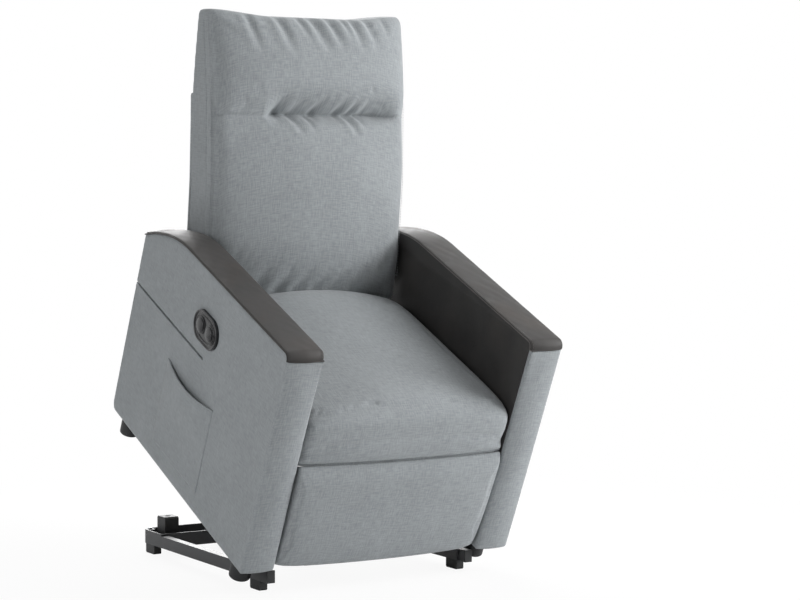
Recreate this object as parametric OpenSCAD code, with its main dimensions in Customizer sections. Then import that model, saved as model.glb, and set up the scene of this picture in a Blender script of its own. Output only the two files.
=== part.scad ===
// Lift recliner chair, drawn with the lift fully raised.
// The chair is drawn upright in its own frame and lifted() sets it on the raised lift arms.
// The base is drawn on the floor. Side profiles hold [distance behind the front, height].

/* [Arms and panels] */
// Width of the seat between the arms
seat_w = 534; // [520:1:600]
// Depth of the side panels
panel_d = 734; // [724:1:750]
// Height of the arm tops at the front
arm_h = 550; // [538:1:562]
// Thickness of one arm
arm_t = 86.5; // [80:0.5:90]
// Distance over which the arm top runs level before it drops to the rear
arm_level = 495; // [470:1:510]
// Radius of the drop at the rear of the arm top
arm_drop_r = 472; // [450:1:500]
// Radius of the front upper corner of an arm
arm_nose_r = 18; // [12:1:24]
// Bulge of the front face of an arm
arm_bulge = 7; // [4:0.5:9]
// Depth of the leather band along the arm tops
band_t = 5; // [4:0.5:8]
// Thickness of the leather lining inside the arms
lining_t = 2.5; // [2:0.5:4]
// Lower edge of the leather lining
lining_z = 205; // [180:5:230]
// Height of the seam that runs along the outer panels
seam_z = 346; // [330:1:360]
// Length of that seam from the rear edge
seam_l = 390; // [300:5:430]
// Height of the chair feet
foot_h = 53; // [50:1:56]
// Radius of the chair feet
foot_r = 24.5; // [20:0.5:28]

/* [Pocket and hand control] */
// Front end of the side pocket
pocket_y = 252; // [230:1:270]
// Length of the side pocket
pocket_l = 246; // [220:1:260]
// Upper edge of the side pocket at its middle
pocket_z = 252; // [235:1:260]
// Depth of the side pocket below its edge
pocket_drop = 202; // [170:1:210]
// How far the side pocket stands out
pocket_t = 12; // [10:0.5:16]
// Thickness of the pocket cloth
cloth_t = 2.2; // [1.5:0.1:3]
// Distance of the hand control behind the front
control_y = 350; // [330:1:370]
// Height of the hand control
control_z = 419; // [405:1:430]
// Length of the hand control
control_l = 116; // [110:1:125]
// Height of the hand control's plate
control_w = 74; // [70:1:80]
// Distance between the two buttons
button_gap = 46; // [44:1:50]
// Radius of a button
button_r = 17; // [14:0.5:18]
// Travel of a button
button_travel = 2.5; // [1.5:0.5:3]

/* [Seat and back] */
// Height of the underside of the seat cushion
seat_z = 266; // [262:1:272]
// Height of the seat edge along the arms
seat_edge_z = 378; // [368:1:388]
// Height of the crown over the seat edge
seat_crown = 36; // [26:1:42]
// How far the front roll of the seat stands out
seat_roll = 24; // [18:1:26]
// Depth of the seat cushion behind the front
seat_d = 548; // [530:1:556]
// Gap between the back and each arm
back_gap = 10; // [8:0.5:12]
// Length of the back along its slope, from the recliner pivot
back_l = 700; // [680:1:730]
// Lean of the back from the upright
back_lean = 18.3; // [15:0.1:20]
// Distance of the headrest seam from the recliner pivot along the slope
head_seam = 464; // [440:1:490]
// Thickness of the back at its sides, ahead of the pivot line
back_side_t = 66; // [60:1:72]
// Crown of the lumbar cushion over its side edge
lumbar_crown = 42; // [30:1:50]
// Crown of the headrest over its side edge
head_crown = 36; // [26:1:46]

/* [Footrest] */
// Gap between the footrest pad and each arm
pad_gap = 6.5; // [5:0.5:9]
// Height of the upper edge of the pad
pad_top = 262; // [256:1:262.5]
// How far the pad bulges at its middle
pad_crown = 10; // [6:1:12]
// Thickness of the footrest board
board_t = 15; // [12:1:15]
// How far the board stays inside each side of the pad
board_inset = 55.5; // [50:0.5:65]
// Swing length of the footrest arms
foot_arm_l = 137.4; // [134:0.2:140]
// Share of the arm by which the follower link lies beyond the lower link
follow_k = 0.36; // [0.32:0.01:0.4]
// Half width of a footrest bar
foot_bar_r = 8; // [6:0.5:9]
// Thickness of a footrest bar
foot_bar_t = 4; // [3:0.25:4]

/* [Lift base] */
// Tilt of the chair with the lift fully raised
lift_tilt = 24.47; // [24:0.01:25]
// Height of the chair's front lower edge with the lift fully raised
lift_raise = 56.3; // [55:0.1:58]
// Setback of the chair on the base with the lift down
down_y = 9; // [8:0.5:10]
// How far the base reaches out under each arm
base_reach = 5; // [3:0.5:7]
// Width of a base rail
rail_w = 19; // [17:0.5:21]
// Height of a base rail
rail_h = 28.6; // [26:0.2:29]
// Wall of a base rail
rail_wall = 1.8; // [1.2:0.1:2.5]
// Front end of the base rails
rail_y = 20; // [15:1:25]
// Front face of the rear channel
channel_y = 561; // [555:1:565]
// Depth of the rear channel
channel_d = 109; // [100:1:115]
// Height of the rear channel
channel_h = 33.6; // [30:0.2:35]
// Wall of the rear channel
channel_wall = 3; // [2:0.5:4]
// Height of the base foot blocks
block_h = 22; // [20:1:23]
// Thickness of the base bracket plates
bracket_t = 4; // [3:0.5:4.5]
// Thickness of the lift arms
arm_plate_t = 5; // [4:0.5:5.5]
// Thickness of the front links
link_t = 5; // [4:0.5:5.5]
// Thickness of the cheek plates under the seat
cheek_t = 5; // [4:0.5:5.5]
// Gap between neighbouring plates
layer_gap = 1; // [0.8:0.1:1.2]
// Radius of the lift pivot pins
pin_r = 6; // [5:0.25:6.5]
// Half width of a lift arm
arm_r = 14; // [12:0.5:15]
// Radial clearance of a running pin
fit = 0.05; // [0.03:0.01:0.08]
// Extra clearance of the front link on its upper pin
link_play = 0.8; // [0.7:0.05:1]
// Length of the lever on the torque tube
lever_l = 100; // [98:0.5:102]
// Clearance of the rod eye on the lever pin
eye_play = 3.6; // [3.4:0.1:4]
// Radius of the actuator rod
rod_r = 10; // [8:0.5:11]
// Radius of the actuator tube
tube_r = 18; // [16:0.5:20]

/* [Hidden] */
$fn = 64;

cloth = "#9aa0a4";
cloth_dark = "#83898c";
leather = "#4a4744";
leather_dark = "#2e2d2d";
steel = "#2b2b2d";
plastic = "#1c1c1d";
zinc = "#a9abad";
wood = "#b9935f";

// Model origin: centre of the raised chair's footprint
origin_y = 224.5;
seat_half = seat_w / 2;
chair_w = seat_w + 2 * arm_t;
back_w = seat_w - 2 * back_gap;
pad_w = seat_w - 2 * pad_gap;
board_w = pad_w - 2 * board_inset;

// Layers of plates on each side, outermost first
base_half = seat_half + base_reach;
rail_in = base_half - rail_w;
bracket_x = rail_in - bracket_t;
arm_x = bracket_x - layer_gap - arm_plate_t;
link_x = arm_x - layer_gap - link_t;
cheek_x = link_x - layer_gap - cheek_t;
mech_t = 5;
mech_x = cheek_x - mech_t;
foot_gap = 0.5;
outer_x = mech_x - foot_gap - foot_bar_t;
inner_x = outer_x - foot_gap - foot_bar_t;
rivet_t = 0.7;

// Heights on the base
rail_top = block_h + rail_h;
channel_top = block_h + channel_h;

// Lift pivots on the chair: rear one for the lift arms, front one for the front links
arm_pin = [480, 90];
link_pin = [164, 50];
// Distance of each base pivot from the chord between the pin's two end positions
arm_reach = 380;
link_reach = 107;
function up(p) = [
  p.x * cos(lift_tilt) - p.y * sin(lift_tilt),
  p.x * sin(lift_tilt) + p.y * cos(lift_tilt) + lift_raise
];
function down(p) = [p.x + down_y, p.y + foot_h];
function centre_of(a, b, k) = (a + b) / 2 + k * [b.y - a.y, a.x - b.x] / norm(b - a);
function angle_of(a, b) = atan2(b.y - a.y, b.x - a.x);
function polar(c, r, a) = c + r * [cos(a), sin(a)];
arm_base = centre_of(up(arm_pin), down(arm_pin), arm_reach);
link_base = centre_of(up(link_pin), down(link_pin), link_reach);
arm_a = angle_of(arm_base, up(arm_pin));

// Torque tube ahead of and below the arm line, and the lever pin above it
tube_at = polar(arm_base, 60, arm_a - 60);
torque_r = 12.5;
lever_at = polar(arm_base, lever_l, arm_a + 86);
lever_x = 14;
lever_t = 5;
anchor_at = [560, 60];
actuator_a = angle_of(anchor_at, lever_at);
actuator_l = norm(lever_at - anchor_at);

// Footrest linkage: two parallelograms in a row
foot_pivot = [200, 215];
foot_a = [0.0728, -0.9973] * foot_arm_l;
foot_b = [-148, 122];
strut_d = [35.5, -29.3];
knee = foot_pivot + foot_a;
foot_end = knee + foot_b;
follow_knee = knee + follow_k * foot_a;
follow_end = foot_end + follow_k * foot_a;
strut_pivot = foot_pivot + strut_d;
strut_end = knee + strut_d;
board_y = 35;
board_z = [12, 234];
foot_pin_r = 4.5;
foot_tube_r = 11;

// Recliner
back_pivot = [620, 330];
hinge_t = 3.5;
hinge_pin_r = 8;
back_bracket_t = 3;
back_base = 54;

function power(x, e) = sign(x) * pow(abs(x), e);
// Share of the crown that is lost at a station s of the half width
function fall(s) = 0.6 * pow(s, 2) + 0.4 * pow(s, 12);

module lifted()
  translate([0, -origin_y, lift_raise])
    rotate([lift_tilt, 0, 0])
      children();

module on_floor()
  translate([0, -origin_y, 0])
    children();

module both() {
  children();
  mirror([1, 0, 0])
    children();
}

// Side profile drawn as [depth, height], swept from x0 over a width
module along_x(x0, w)
  translate([x0, 0, 0])
    rotate([90, 0, 90])
      linear_extrude(w)
        children();

module pin(p, x0, x1, r)
  translate([x0, p.x, p.y])
    rotate([0, 90, 0])
      cylinder(h = x1 - x0, r = r);

module dot(p, r)
  translate(p)
    circle(r);

// Flat bar with round ends that stand a little proud of its sides
module bar(p, q, r) {
  side = r - 0.12;
  dot(p, r);
  dot(q, r);
  translate(p)
    rotate(angle_of(p, q))
      translate([0, -side])
        square([norm(q - p), 2 * side]);
}

// Closed soft form: rings across the width, each placed by place(u, v, s)
module soft(half_w, count, top_n, low_n, place) {
  stations = [0, 0.3, 0.55, 0.75, 0.88, 0.96, 1];
  last = len(stations) - 1;
  signed = concat([for (i = [last:-1:1]) -stations[i]], stations);
  rings = [for (s = signed) [for (j = [0:count - 1])
    let (a = 360 * j / count, e = 2 / (sin(a) > 0 ? top_n : low_n), k = abs(s) == 1 ? 0.93 : 1)
    let (q = place(k * power(cos(a), e), k * power(sin(a), e), abs(s)))
    [s * half_w, q.x, q.y]]];
  end = count * (len(signed) - 1);
  walls = [for (i = [0:len(signed) - 2], j = [0:count - 1])
    let (a = i * count + j, b = i * count + (j + 1) % count)
    each [[a, b + count, b], [a, a + count, b + count]]];
  caps = [for (j = [1:count - 2]) each [[0, j, j + 1], [end, end + j + 1, end + j]]];
  polyhedron(points = [for (r = rings) each r], faces = concat(walls, caps));
}

// ---------------------------------------------------------------- base

module base_rails()
  color(steel)
    on_floor()
      both()
        difference() {
          translate([rail_in, rail_y, block_h])
            cube([rail_w, channel_y - rail_y, rail_h]);
          translate([rail_in + rail_wall, rail_y - 1, block_h + rail_wall])
            cube([rail_w - 2 * rail_wall, channel_y - rail_y + 2, rail_h - 2 * rail_wall]);
        }

module rail_plugs()
  color(plastic)
    on_floor()
      both() {
        translate([rail_in, rail_y - 3, block_h])
          cube([rail_w, 3, rail_h]);
        translate([rail_in + rail_wall, rail_y, block_h + rail_wall])
          cube([rail_w - 2 * rail_wall, 16, rail_h - 2 * rail_wall]);
      }

block_l = 47;
block_y = [53, channel_y + 40];

module foot_block(y)
  difference() {
    along_x(rail_in, rail_w)
      polygon([[y + 3, 0], [y + block_l - 3, 0], [y + block_l, 3], [y + block_l, block_h],
        [y, block_h], [y, 3]]);
    translate([rail_in + rail_w / 2, y + block_l / 2, -1])
      cylinder(h = 9, r = 5);
  }

module foot_blocks()
  color(plastic)
    on_floor()
      both() {
        foot_block(block_y[0]);
        foot_block(block_y[1]);
      }

channel_r = 22;

module channel_outline(inset) {
  w = base_half - inset;
  y1 = channel_y + channel_d - inset;
  translate([-w, channel_y + inset])
    square([2 * w, channel_d - 2 * inset - channel_r]);
  translate([-w + channel_r, channel_y + inset])
    square([2 * (w - channel_r), channel_d - 2 * inset]);
  for (side = [-1, 1])
    translate([side * (w - channel_r), y1 - channel_r])
      circle(channel_r);
}

flange = 44;

module rear_channel()
  color(steel)
    on_floor() {
      difference() {
        translate([0, 0, block_h])
          linear_extrude(channel_h)
            channel_outline(0);
        translate([0, 0, block_h + channel_wall])
          linear_extrude(channel_h)
            channel_outline(channel_wall);
        translate([-26, channel_y - 1, block_h + channel_wall])
          cube([52, channel_wall + 2, channel_h]);
      }
      // Corner flanges with their screw holes
      translate([0, 0, channel_top - channel_wall])
        linear_extrude(channel_wall)
          difference() {
            intersection() {
              channel_outline(channel_wall);
              for (side = [-1, 1])
                translate([side * base_half - flange / 2, channel_y + channel_d - 30])
                  square([flange, flange]);
            }
            for (side = [-1, 1])
              translate([side * (base_half - 14), channel_y + channel_d - 16])
                circle(3.2);
          }
    }

rest_x = 206;
rest_w = 37;
rest_l = 44;
rest_y = channel_y + 39;
rest_top = 89;

module rest_blocks()
  color(plastic)
    on_floor()
      both()
        difference() {
          along_x(rest_x, rest_w)
            polygon([[rest_y, block_h + channel_wall], [rest_y + rest_l, block_h + channel_wall],
              [rest_y + rest_l, rest_top - 4], [rest_y + rest_l - 4, rest_top],
              [rest_y + 4, rest_top], [rest_y, rest_top - 4]]);
          translate([rest_x + rest_w / 2, rest_y + rest_l / 2, rest_top - 12])
            cylinder(h = 13, r = 7);
        }

bracket_r = 15;

module base_brackets()
  color(steel)
    on_floor()
      both()
        along_x(bracket_x, bracket_t)
          difference() {
            union() {
              bar(link_base, [link_base.x, block_h + bracket_r + 2], bracket_r);
              bar(arm_base, [arm_base.x, block_h + bracket_r + 2], bracket_r);
              bar(link_base, arm_base, bracket_r);
              translate([link_base.x - bracket_r, block_h + 2])
                square([arm_base.x - link_base.x + 2 * bracket_r, link_base.y - block_h - 2]);
            }
            dot(link_base, pin_r);
            dot(arm_base, pin_r);
          }

anchor_t = 4;
anchor_x = 15;

module actuator_anchor()
  color(steel)
    on_floor()
      both()
        along_x(anchor_x, anchor_t)
          difference() {
            union() {
              dot(anchor_at, 13);
              translate([anchor_at.x, block_h + channel_wall])
                square([44, anchor_at.y - block_h - channel_wall]);
              bar(anchor_at, anchor_at + [24, -8], 13);
            }
            dot(anchor_at, pin_r);
          }

module base_pins()
  color(zinc)
    on_floor() {
      both() {
        // Arm pivot
        pin(arm_base, arm_x, rail_in + 3, pin_r);
        pin(arm_base, arm_x - rivet_t, arm_x, pin_r + 2);
        pin(arm_base, rail_in, rail_in + 4, pin_r + 4);
        // Front link pivot, with its spacer past the lift arm
        pin(link_base, link_x - 2, rail_in + 3, pin_r);
        pin(link_base, link_x + link_t + 0.5, bracket_x, pin_r + 3);
        pin(link_base, link_x - 3, link_x - 0.5, pin_r + 2);
        pin(link_base, rail_in, rail_in + 4, pin_r + 4);
      }
      pin(anchor_at, -anchor_x - anchor_t, anchor_x + anchor_t, pin_r);
      both()
        pin(anchor_at, anchor_x + anchor_t, anchor_x + anchor_t + 3, pin_r + 3);
    }

module hex_bolt(r, h)
  cylinder(h = h, r = r, $fn = 6);

module base_bolts()
  color(zinc)
    on_floor()
      both() {
        for (y = block_y)
          translate([rail_in + rail_w / 2, y + block_l / 2, 3])
            cylinder(h = 5, r = 4.8);
        translate([rest_x + rest_w / 2, rest_y + rest_l / 2, rest_top - 12])
          cylinder(h = 4, r = 6.5);
        translate([base_half - 14, channel_y + channel_d - 16, channel_top])
          hex_bolt(6, 4);
      }

// ---------------------------------------------------------------- lift

module lift_arms()
  color(steel)
    on_floor()
      both()
        along_x(arm_x, arm_plate_t)
          difference() {
            union() {
              bar(arm_base, up(arm_pin), arm_r);
              dot(arm_base, arm_r + 3);
              bar(arm_base, tube_at, arm_r + 2);
              bar(tube_at, polar(arm_base, 110, arm_a), arm_r - 3);
            }
            dot(arm_base, pin_r + fit);
            dot(up(arm_pin), pin_r + fit);
            dot(tube_at, torque_r);
          }

module torque_tube()
  color(steel)
    on_floor()
      difference() {
        pin(tube_at, -arm_x - arm_plate_t, arm_x + arm_plate_t, torque_r);
        pin(tube_at, -base_half, base_half, torque_r - 2.5);
      }

module lever_plates()
  color(steel)
    on_floor()
      both()
        along_x(lever_x, lever_t)
          difference() {
            union() {
              bar(tube_at, lever_at, 11);
              dot(tube_at, torque_r + 8);
              dot(lever_at, 14);
            }
            dot(tube_at, torque_r);
            dot(lever_at, pin_r);
          }

module lever_pin()
  color(zinc)
    on_floor() {
      pin(lever_at, -lever_x - lever_t, lever_x + lever_t, pin_r);
      both()
        pin(lever_at, lever_x + lever_t, lever_x + lever_t + 3, pin_r + 3);
    }

module front_links()
  color(steel)
    on_floor()
      both()
        along_x(link_x, link_t)
          difference() {
            bar(link_base, up(link_pin), 13);
            dot(link_base, pin_r + fit);
            dot(up(link_pin), pin_r + link_play);
          }

// Actuator, drawn along +Y from its rear eye
module along_actuator()
  on_floor()
    translate([0, anchor_at.x, anchor_at.y])
      rotate([actuator_a, 0, 0])
        children();

module rod_y(y0, y1, r)
  translate([0, y0, 0])
    rotate([-90, 0, 0])
      cylinder(h = y1 - y0, r = r);

eye_x = 12.5;
gear_y = [24, 92];
tube_end = 300;
bore_y = 60;

module actuator_body()
  color(plastic)
    along_actuator()
      difference() {
        union() {
          // Rear eye and neck
          along_x(-eye_x, 2 * eye_x)
            union() {
              dot([0, 0], 14);
              translate([0, -11])
                square([gear_y[0] + 2, 22]);
            }
          // Gearbox
          along_x(-24, 48)
            union() {
              translate([gear_y[0] + 8, -25])
                square([gear_y[1] - gear_y[0] - 16, 50]);
              translate([gear_y[0], -17])
                square([gear_y[1] - gear_y[0], 34]);
              for (y = [gear_y[0] + 8, gear_y[1] - 8], z = [-17, 17])
                dot([y, z], 8);
            }
          // Outer tube and its front gland
          rod_y(gear_y[1] - 2, tube_end - 14, tube_r);
          rod_y(tube_end - 14, tube_end, tube_r + 2);
        }
        rod_y(bore_y, tube_end + 1, rod_r + 0.4);
        pin([0, 0], -eye_x - 1, eye_x + 1, pin_r + fit);
      }

motor_x = 24;
motor_r = 22;
motor_y = [gear_y[0] + 40, gear_y[0] + 150];

module lift_motor()
  color(steel)
    along_actuator() {
      // Drive flange on the gearbox, then the motor can beside the tube
      translate([motor_x, gear_y[0] + 10, -20])
        cube([2 * motor_r + 4, 30, 40]);
      translate([motor_x + 2 + motor_r, 0, 0])
        rod_y(motor_y[0], motor_y[1], motor_r);
      translate([motor_x + 2 + motor_r, 0, 0])
        rod_y(motor_y[1], motor_y[1] + 4, motor_r - 6);
    }

module actuator_rod()
  color(zinc)
    along_actuator()
      difference() {
        union() {
          rod_y(bore_y + 60, actuator_l - 14, rod_r);
          along_x(-eye_x, 2 * eye_x)
            union() {
              dot([actuator_l, 0], 16);
              translate([actuator_l - 30, -11])
                square([20, 22]);
            }
        }
        pin([actuator_l, 0], -eye_x - 1, eye_x + 1, pin_r + eye_play);
      }

// ---------------------------------------------------------------- chair frame

bar_z = [195, 240];
bar_y = [130, 530];
cross_y = [bar_y[0] + 170, bar_y[1] - 30];
cross_r = 12.5;
cross_wall = 2;

module cheek_plates()
  color(steel)
    lifted()
      both()
        along_x(cheek_x, cheek_t)
          difference() {
            union() {
              bar(link_pin, [link_pin.x - 8, bar_z[0] + 20], 20);
              bar(arm_pin, [arm_pin.x + 10, bar_z[0] + 20], 22);
              translate([bar_y[0], bar_z[0]])
                square([bar_y[1] - bar_y[0], bar_z[1] - bar_z[0]]);
            }
            dot(link_pin, pin_r);
            dot(arm_pin, pin_r);
          }

module cross_tubes()
  color(steel)
    lifted()
      for (y = cross_y)
        difference() {
          pin([y, (bar_z[0] + bar_z[1]) / 2], -cheek_x, cheek_x, cross_r);
          pin([y, (bar_z[0] + bar_z[1]) / 2], -cheek_x - 1, cheek_x + 1, cross_r - cross_wall);
        }

module chair_pins()
  color(zinc)
    lifted()
      both() {
        pin(arm_pin, cheek_x, arm_x + arm_plate_t, pin_r);
        pin(arm_pin, cheek_x - 4, cheek_x, pin_r + 4);
        pin(arm_pin, cheek_x + cheek_t, arm_x - 0.5, pin_r + 4);
        pin(arm_pin, arm_x + arm_plate_t, arm_x + arm_plate_t + rivet_t, pin_r + 2);
        pin(link_pin, cheek_x, link_x + link_t, pin_r);
        pin(link_pin, cheek_x - 4, cheek_x, pin_r + 4);
        pin(link_pin, link_x + link_t, link_x + link_t + rivet_t, pin_r + 2);
      }

module mech_plates()
  color(steel)
    lifted()
      both()
        along_x(mech_x, mech_t)
          difference() {
            union() {
              bar(foot_pivot, foot_pivot + [0, 12], 15);
              bar(strut_pivot, [strut_pivot.x + 6, foot_pivot.y + 8], 14);
              translate([foot_pivot.x - 15, foot_pivot.y - 8])
                square([75, bar_z[1] - foot_pivot.y + 8]);
            }
            dot(foot_pivot, foot_pin_r + 2.5 + fit);
            dot(strut_pivot, foot_pin_r);
          }

// Rivet on the inner face of a footrest bar, in the layer that starts at x0
module rivet(p, x0, x1) {
  pin(p, x0, x1, foot_pin_r);
  pin(p, x0 - 1.2, x0, foot_pin_r + 3);
}

module mech_pins()
  color(zinc)
    lifted()
      both()
        rivet(strut_pivot, outer_x - 0.4, mech_x + mech_t);

rail_gap = 4;
seat_rail_z = [bar_z[1], seat_z - rail_gap];
rail_front_y = 42;

module seat_rails()
  color(wood)
    lifted() {
      both()
        translate([cheek_x, rail_front_y, seat_rail_z[0]])
          cube([seat_half - cheek_x, seat_d - rail_front_y, seat_rail_z[1] - seat_rail_z[0]]);
      for (y = [rail_front_y, seat_d - 24])
        translate([-cheek_x, y, seat_rail_z[0]])
          cube([2 * cheek_x, 24, seat_rail_z[1] - seat_rail_z[0]]);
    }

spring_w = 44;
spring_pitch = 26;
spring_t = 3;
spring_count = 5;
spring_step = 2 * cheek_x / (spring_count + 0.5);

// Sinuous spring: straight runs joined by half rings at alternate sides
module spring(y0, y1) {
  runs = floor((y1 - y0) / spring_pitch);
  for (i = [0:runs])
    translate([-spring_w / 2, y0 + i * spring_pitch])
      square([spring_w, spring_t]);
  for (i = [0:runs - 1]) {
    side = i % 2 == 0 ? 1 : -1;
    translate([side * spring_w / 2, y0 + (i + 0.5) * spring_pitch + spring_t / 2])
      intersection() {
        difference() {
          circle((spring_pitch + spring_t) / 2);
          circle((spring_pitch - spring_t) / 2);
        }
        translate([side > 0 ? 0 : -spring_pitch, -spring_pitch])
          square([spring_pitch, 2 * spring_pitch]);
      }
  }
}

module seat_springs()
  color(zinc)
    lifted()
      translate([0, 0, seat_rail_z[1]])
        linear_extrude(spring_t)
          for (i = [0:spring_count - 1])
            translate([(i - (spring_count - 1) / 2) * spring_step, 0])
              spring(rail_front_y + 8, seat_d - 14);

// Side edge and crown of the seat; the roll swells the front at mid height
function seat_place(u, v, s) =
  let (front = -10 - (seat_roll - 10) * (1 - fall(s)))
  let (y = front + (u + 1) / 2 * (seat_d - front))
  let (side = seat_edge_z + 4 - 0.045 * y)
  let (crown = (seat_crown - 14 + 0.085 * y) * (1 - fall(s)))
  [y, seat_z + (v + 1) / 2 * (side + crown - seat_z)];

module seat_cushion()
  color(cloth)
    lifted()
      soft(seat_half - 1, 44, 4, 12, function (u, v, s) seat_place(u, v, s));

beam_z = rest_top - foot_h + 1;

module rest_beam()
  color(wood)
    lifted()
      translate([-seat_half, rest_y - down_y - 4, beam_z])
        cube([2 * seat_half, rest_l + 8, 25]);

// ---------------------------------------------------------------- arms

arm_end_h = arm_h - 10 - arm_drop_r + sqrt(pow(arm_drop_r, 2) - pow(panel_d - arm_level, 2));

module panel_outline(front = -arm_bulge - 0.5) {
  heel_r = 16;
  polygon([[front, 0], [panel_d - heel_r, 0], [panel_d, heel_r], [panel_d, arm_end_h - 1],
    [arm_level, arm_h - 10], [front + arm_nose_r, arm_h], [front, arm_h - arm_nose_r]]);
  dot([front + arm_nose_r, arm_h - arm_nose_r], arm_nose_r);
  dot([panel_d - heel_r, heel_r], heel_r);
  intersection() {
    dot([arm_level, arm_h - 10 - arm_drop_r], arm_drop_r);
    translate([arm_level, 0])
      square([panel_d - arm_level, arm_h]);
  }
}

// Plan of one arm, with its front bulged and its outer rear edge rounded
module panel_plan() {
  w = chair_w / 2;
  rear_r = 10;
  bulge_r = (pow(arm_t / 2, 2) + pow(arm_bulge, 2)) / (2 * arm_bulge);
  difference() {
    union() {
      translate([seat_half, -arm_bulge - 1])
        square([arm_t, panel_d + arm_bulge + 2 - rear_r]);
      translate([seat_half, panel_d - 2 * rear_r])
        square([arm_t - rear_r, 2 * rear_r + 5]);
      dot([w - rear_r, panel_d - rear_r + 1], rear_r);
    }
    difference() {
      translate([seat_half - 1, -arm_bulge - 2])
        square([arm_t + 2, arm_bulge + 4]);
      translate([w - arm_t / 2, bulge_r - arm_bulge])
        circle(bulge_r, $fn = 180);
    }
  }
}

// Cloth part of the outline, inside the leather band and under its seam across the front
module cloth_outline()
  union() {
    translate([0, -band_t])
      panel_outline(band_t - arm_bulge);
    translate([-arm_bulge - 1, 0])
      square([arm_nose_r + arm_bulge, arm_h - arm_nose_r - 2]);
  }

module arm_block()
  intersection() {
    along_x(seat_half, arm_t)
      children();
    translate([0, 0, -1])
      linear_extrude(arm_h + 2)
        panel_plan();
  }

lining_y = [6, panel_d - 10];

module lining_shape()
  intersection() {
    cloth_outline();
    translate([lining_y[0], lining_z])
      square([lining_y[1] - lining_y[0], arm_h]);
  }

module panel()
  difference() {
    arm_block()
      intersection() {
        panel_outline();
        cloth_outline();
      }
    along_x(seat_half - 1, lining_t + 1)
      lining_shape();
    translate([chair_w / 2 - 2.5, panel_d - seam_l, seam_z])
      cube([4, seam_l + 1, 2]);
    // Relief over the end of the rear channel
    translate([seat_half - 1, channel_y - down_y - 14, -1])
      cube([base_reach + 5, panel_d, channel_top - foot_h + 5]);
  }

module arm_top()
  arm_block()
    difference() {
      panel_outline();
      cloth_outline();
    }

control_depth = 15;

module stadium(l, w)
  union() {
    bar([control_y - (l - w) / 2, control_z], [control_y + (l - w) / 2, control_z], w / 2);
  }

module right_panel()
  color(cloth_dark)
    lifted()
      difference() {
        mirror([1, 0, 0])
          panel();
        along_x(-chair_w / 2 - 1, control_depth + 1)
          stadium(control_l - 8, control_w - 8);
      }

module left_panel()
  color(cloth_dark)
    lifted()
      panel();

module right_arm_top()
  color(leather)
    lifted()
      mirror([1, 0, 0])
        arm_top();

module left_arm_top()
  color(leather)
    lifted()
      arm_top();

module arm_linings()
  color(leather_dark)
    lifted()
      both()
        along_x(seat_half, lining_t)
          lining_shape();

module pocket_outline(d) {
  y0 = pocket_y + d;
  y1 = pocket_y + pocket_l - d;
  z0 = pocket_z - pocket_drop + d;
  sag = 16;
  mid = (y0 + y1) / 2;
  difference() {
    polygon([[y0 + 6, z0], [y1 - 6, z0], [y1, z0 + 6], [y1, pocket_z + sag],
      [y0, pocket_z + sag], [y0, z0 + 6]]);
    translate([mid, pocket_z + 600])
      circle(600, $fn = 240);
  }
}

module side_pocket()
  color(cloth_dark)
    lifted()
      difference() {
        along_x(-chair_w / 2 - pocket_t, pocket_t)
          pocket_outline(0);
        along_x(-chair_w / 2 - pocket_t + cloth_t, pocket_t)
          union() {
            pocket_outline(cloth_t);
            translate([pocket_y + cloth_t, pocket_z - 10])
              square([pocket_l - 2 * cloth_t, 40]);
          }
      }

control_t = 7;

module control_bezel()
  color(plastic)
    lifted()
      difference() {
        union() {
          along_x(-chair_w / 2 - control_t, control_t)
            stadium(control_l, control_w);
          // Raised ring round each button
          for (side = [-1, 1])
            translate([0, control_y + side * button_gap / 2, control_z])
              pin([0, 0], -chair_w / 2 - control_t - 2, -chair_w / 2 - control_t, button_r + 4);
          // Cup behind the plate
          along_x(-chair_w / 2, control_depth)
            stadium(control_l - 8, control_w - 8);
        }
        along_x(-chair_w / 2, control_depth - 2)
          stadium(control_l - 12, control_w - 12);
        for (side = [-1, 1])
          translate([0, control_y + side * button_gap / 2, control_z])
            pin([0, 0], -chair_w / 2 - control_t - 3, -chair_w / 2 + 1, button_r + 0.5);
      }

// Button cap, its retaining flange and its stem
module button(side)
  translate([0, control_y + side * button_gap / 2, control_z]) {
    pin([0, 0], -chair_w / 2 - control_t - 3.5, -chair_w / 2 + 1, button_r);
    pin([0, 0], -chair_w / 2 + 0.5, -chair_w / 2 + 3, button_r + 2.5);
    pin([0, 0], -chair_w / 2 + 3, -chair_w / 2 + control_depth - 2.5 - button_travel, 5);
  }

module button_up()
  color(steel)
    lifted()
      button(-1);

module button_down()
  color(steel)
    lifted()
      button(1);

feet_y = [60, 695];

module chair_feet()
  color(plastic)
    lifted()
      both()
        for (y = feet_y)
          translate([chair_w / 2 - arm_t / 2 + 1.5, y, -foot_h])
            rotate_extrude()
              union() {
                translate([0, 4])
                  square([foot_r, foot_h - 4]);
                square([foot_r - 4, 8]);
                translate([foot_r - 4, 4])
                  circle(4);
              }

rear_panel_y = panel_d - 34;
rear_panel_z = [40, 290];
inlet_x = seat_half - 87;
inlet_z = 110;

module rear_panel()
  color(cloth_dark)
    lifted()
      difference() {
        translate([-seat_half, rear_panel_y, rear_panel_z[0]])
          cube([2 * seat_half, 12, rear_panel_z[1] - rear_panel_z[0]]);
        translate([-inlet_x, rear_panel_y - 1, inlet_z])
          rotate([-90, 0, 0])
            cylinder(h = 14, r = 11);
      }

module power_inlet()
  color(plastic)
    lifted()
      translate([-inlet_x, rear_panel_y - 6, inlet_z])
        rotate([-90, 0, 0])
          difference() {
            union() {
              cylinder(h = 18, r = 11);
              translate([0, 0, 18])
                cylinder(h = 2.5, r = 15);
            }
            translate([0, 0, 6])
              cylinder(h = 20, r = 5);
          }

// ---------------------------------------------------------------- recliner hinge

hinge_x = seat_half - hinge_t;
back_bracket_x = hinge_x - 1.2 - back_bracket_t;

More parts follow.
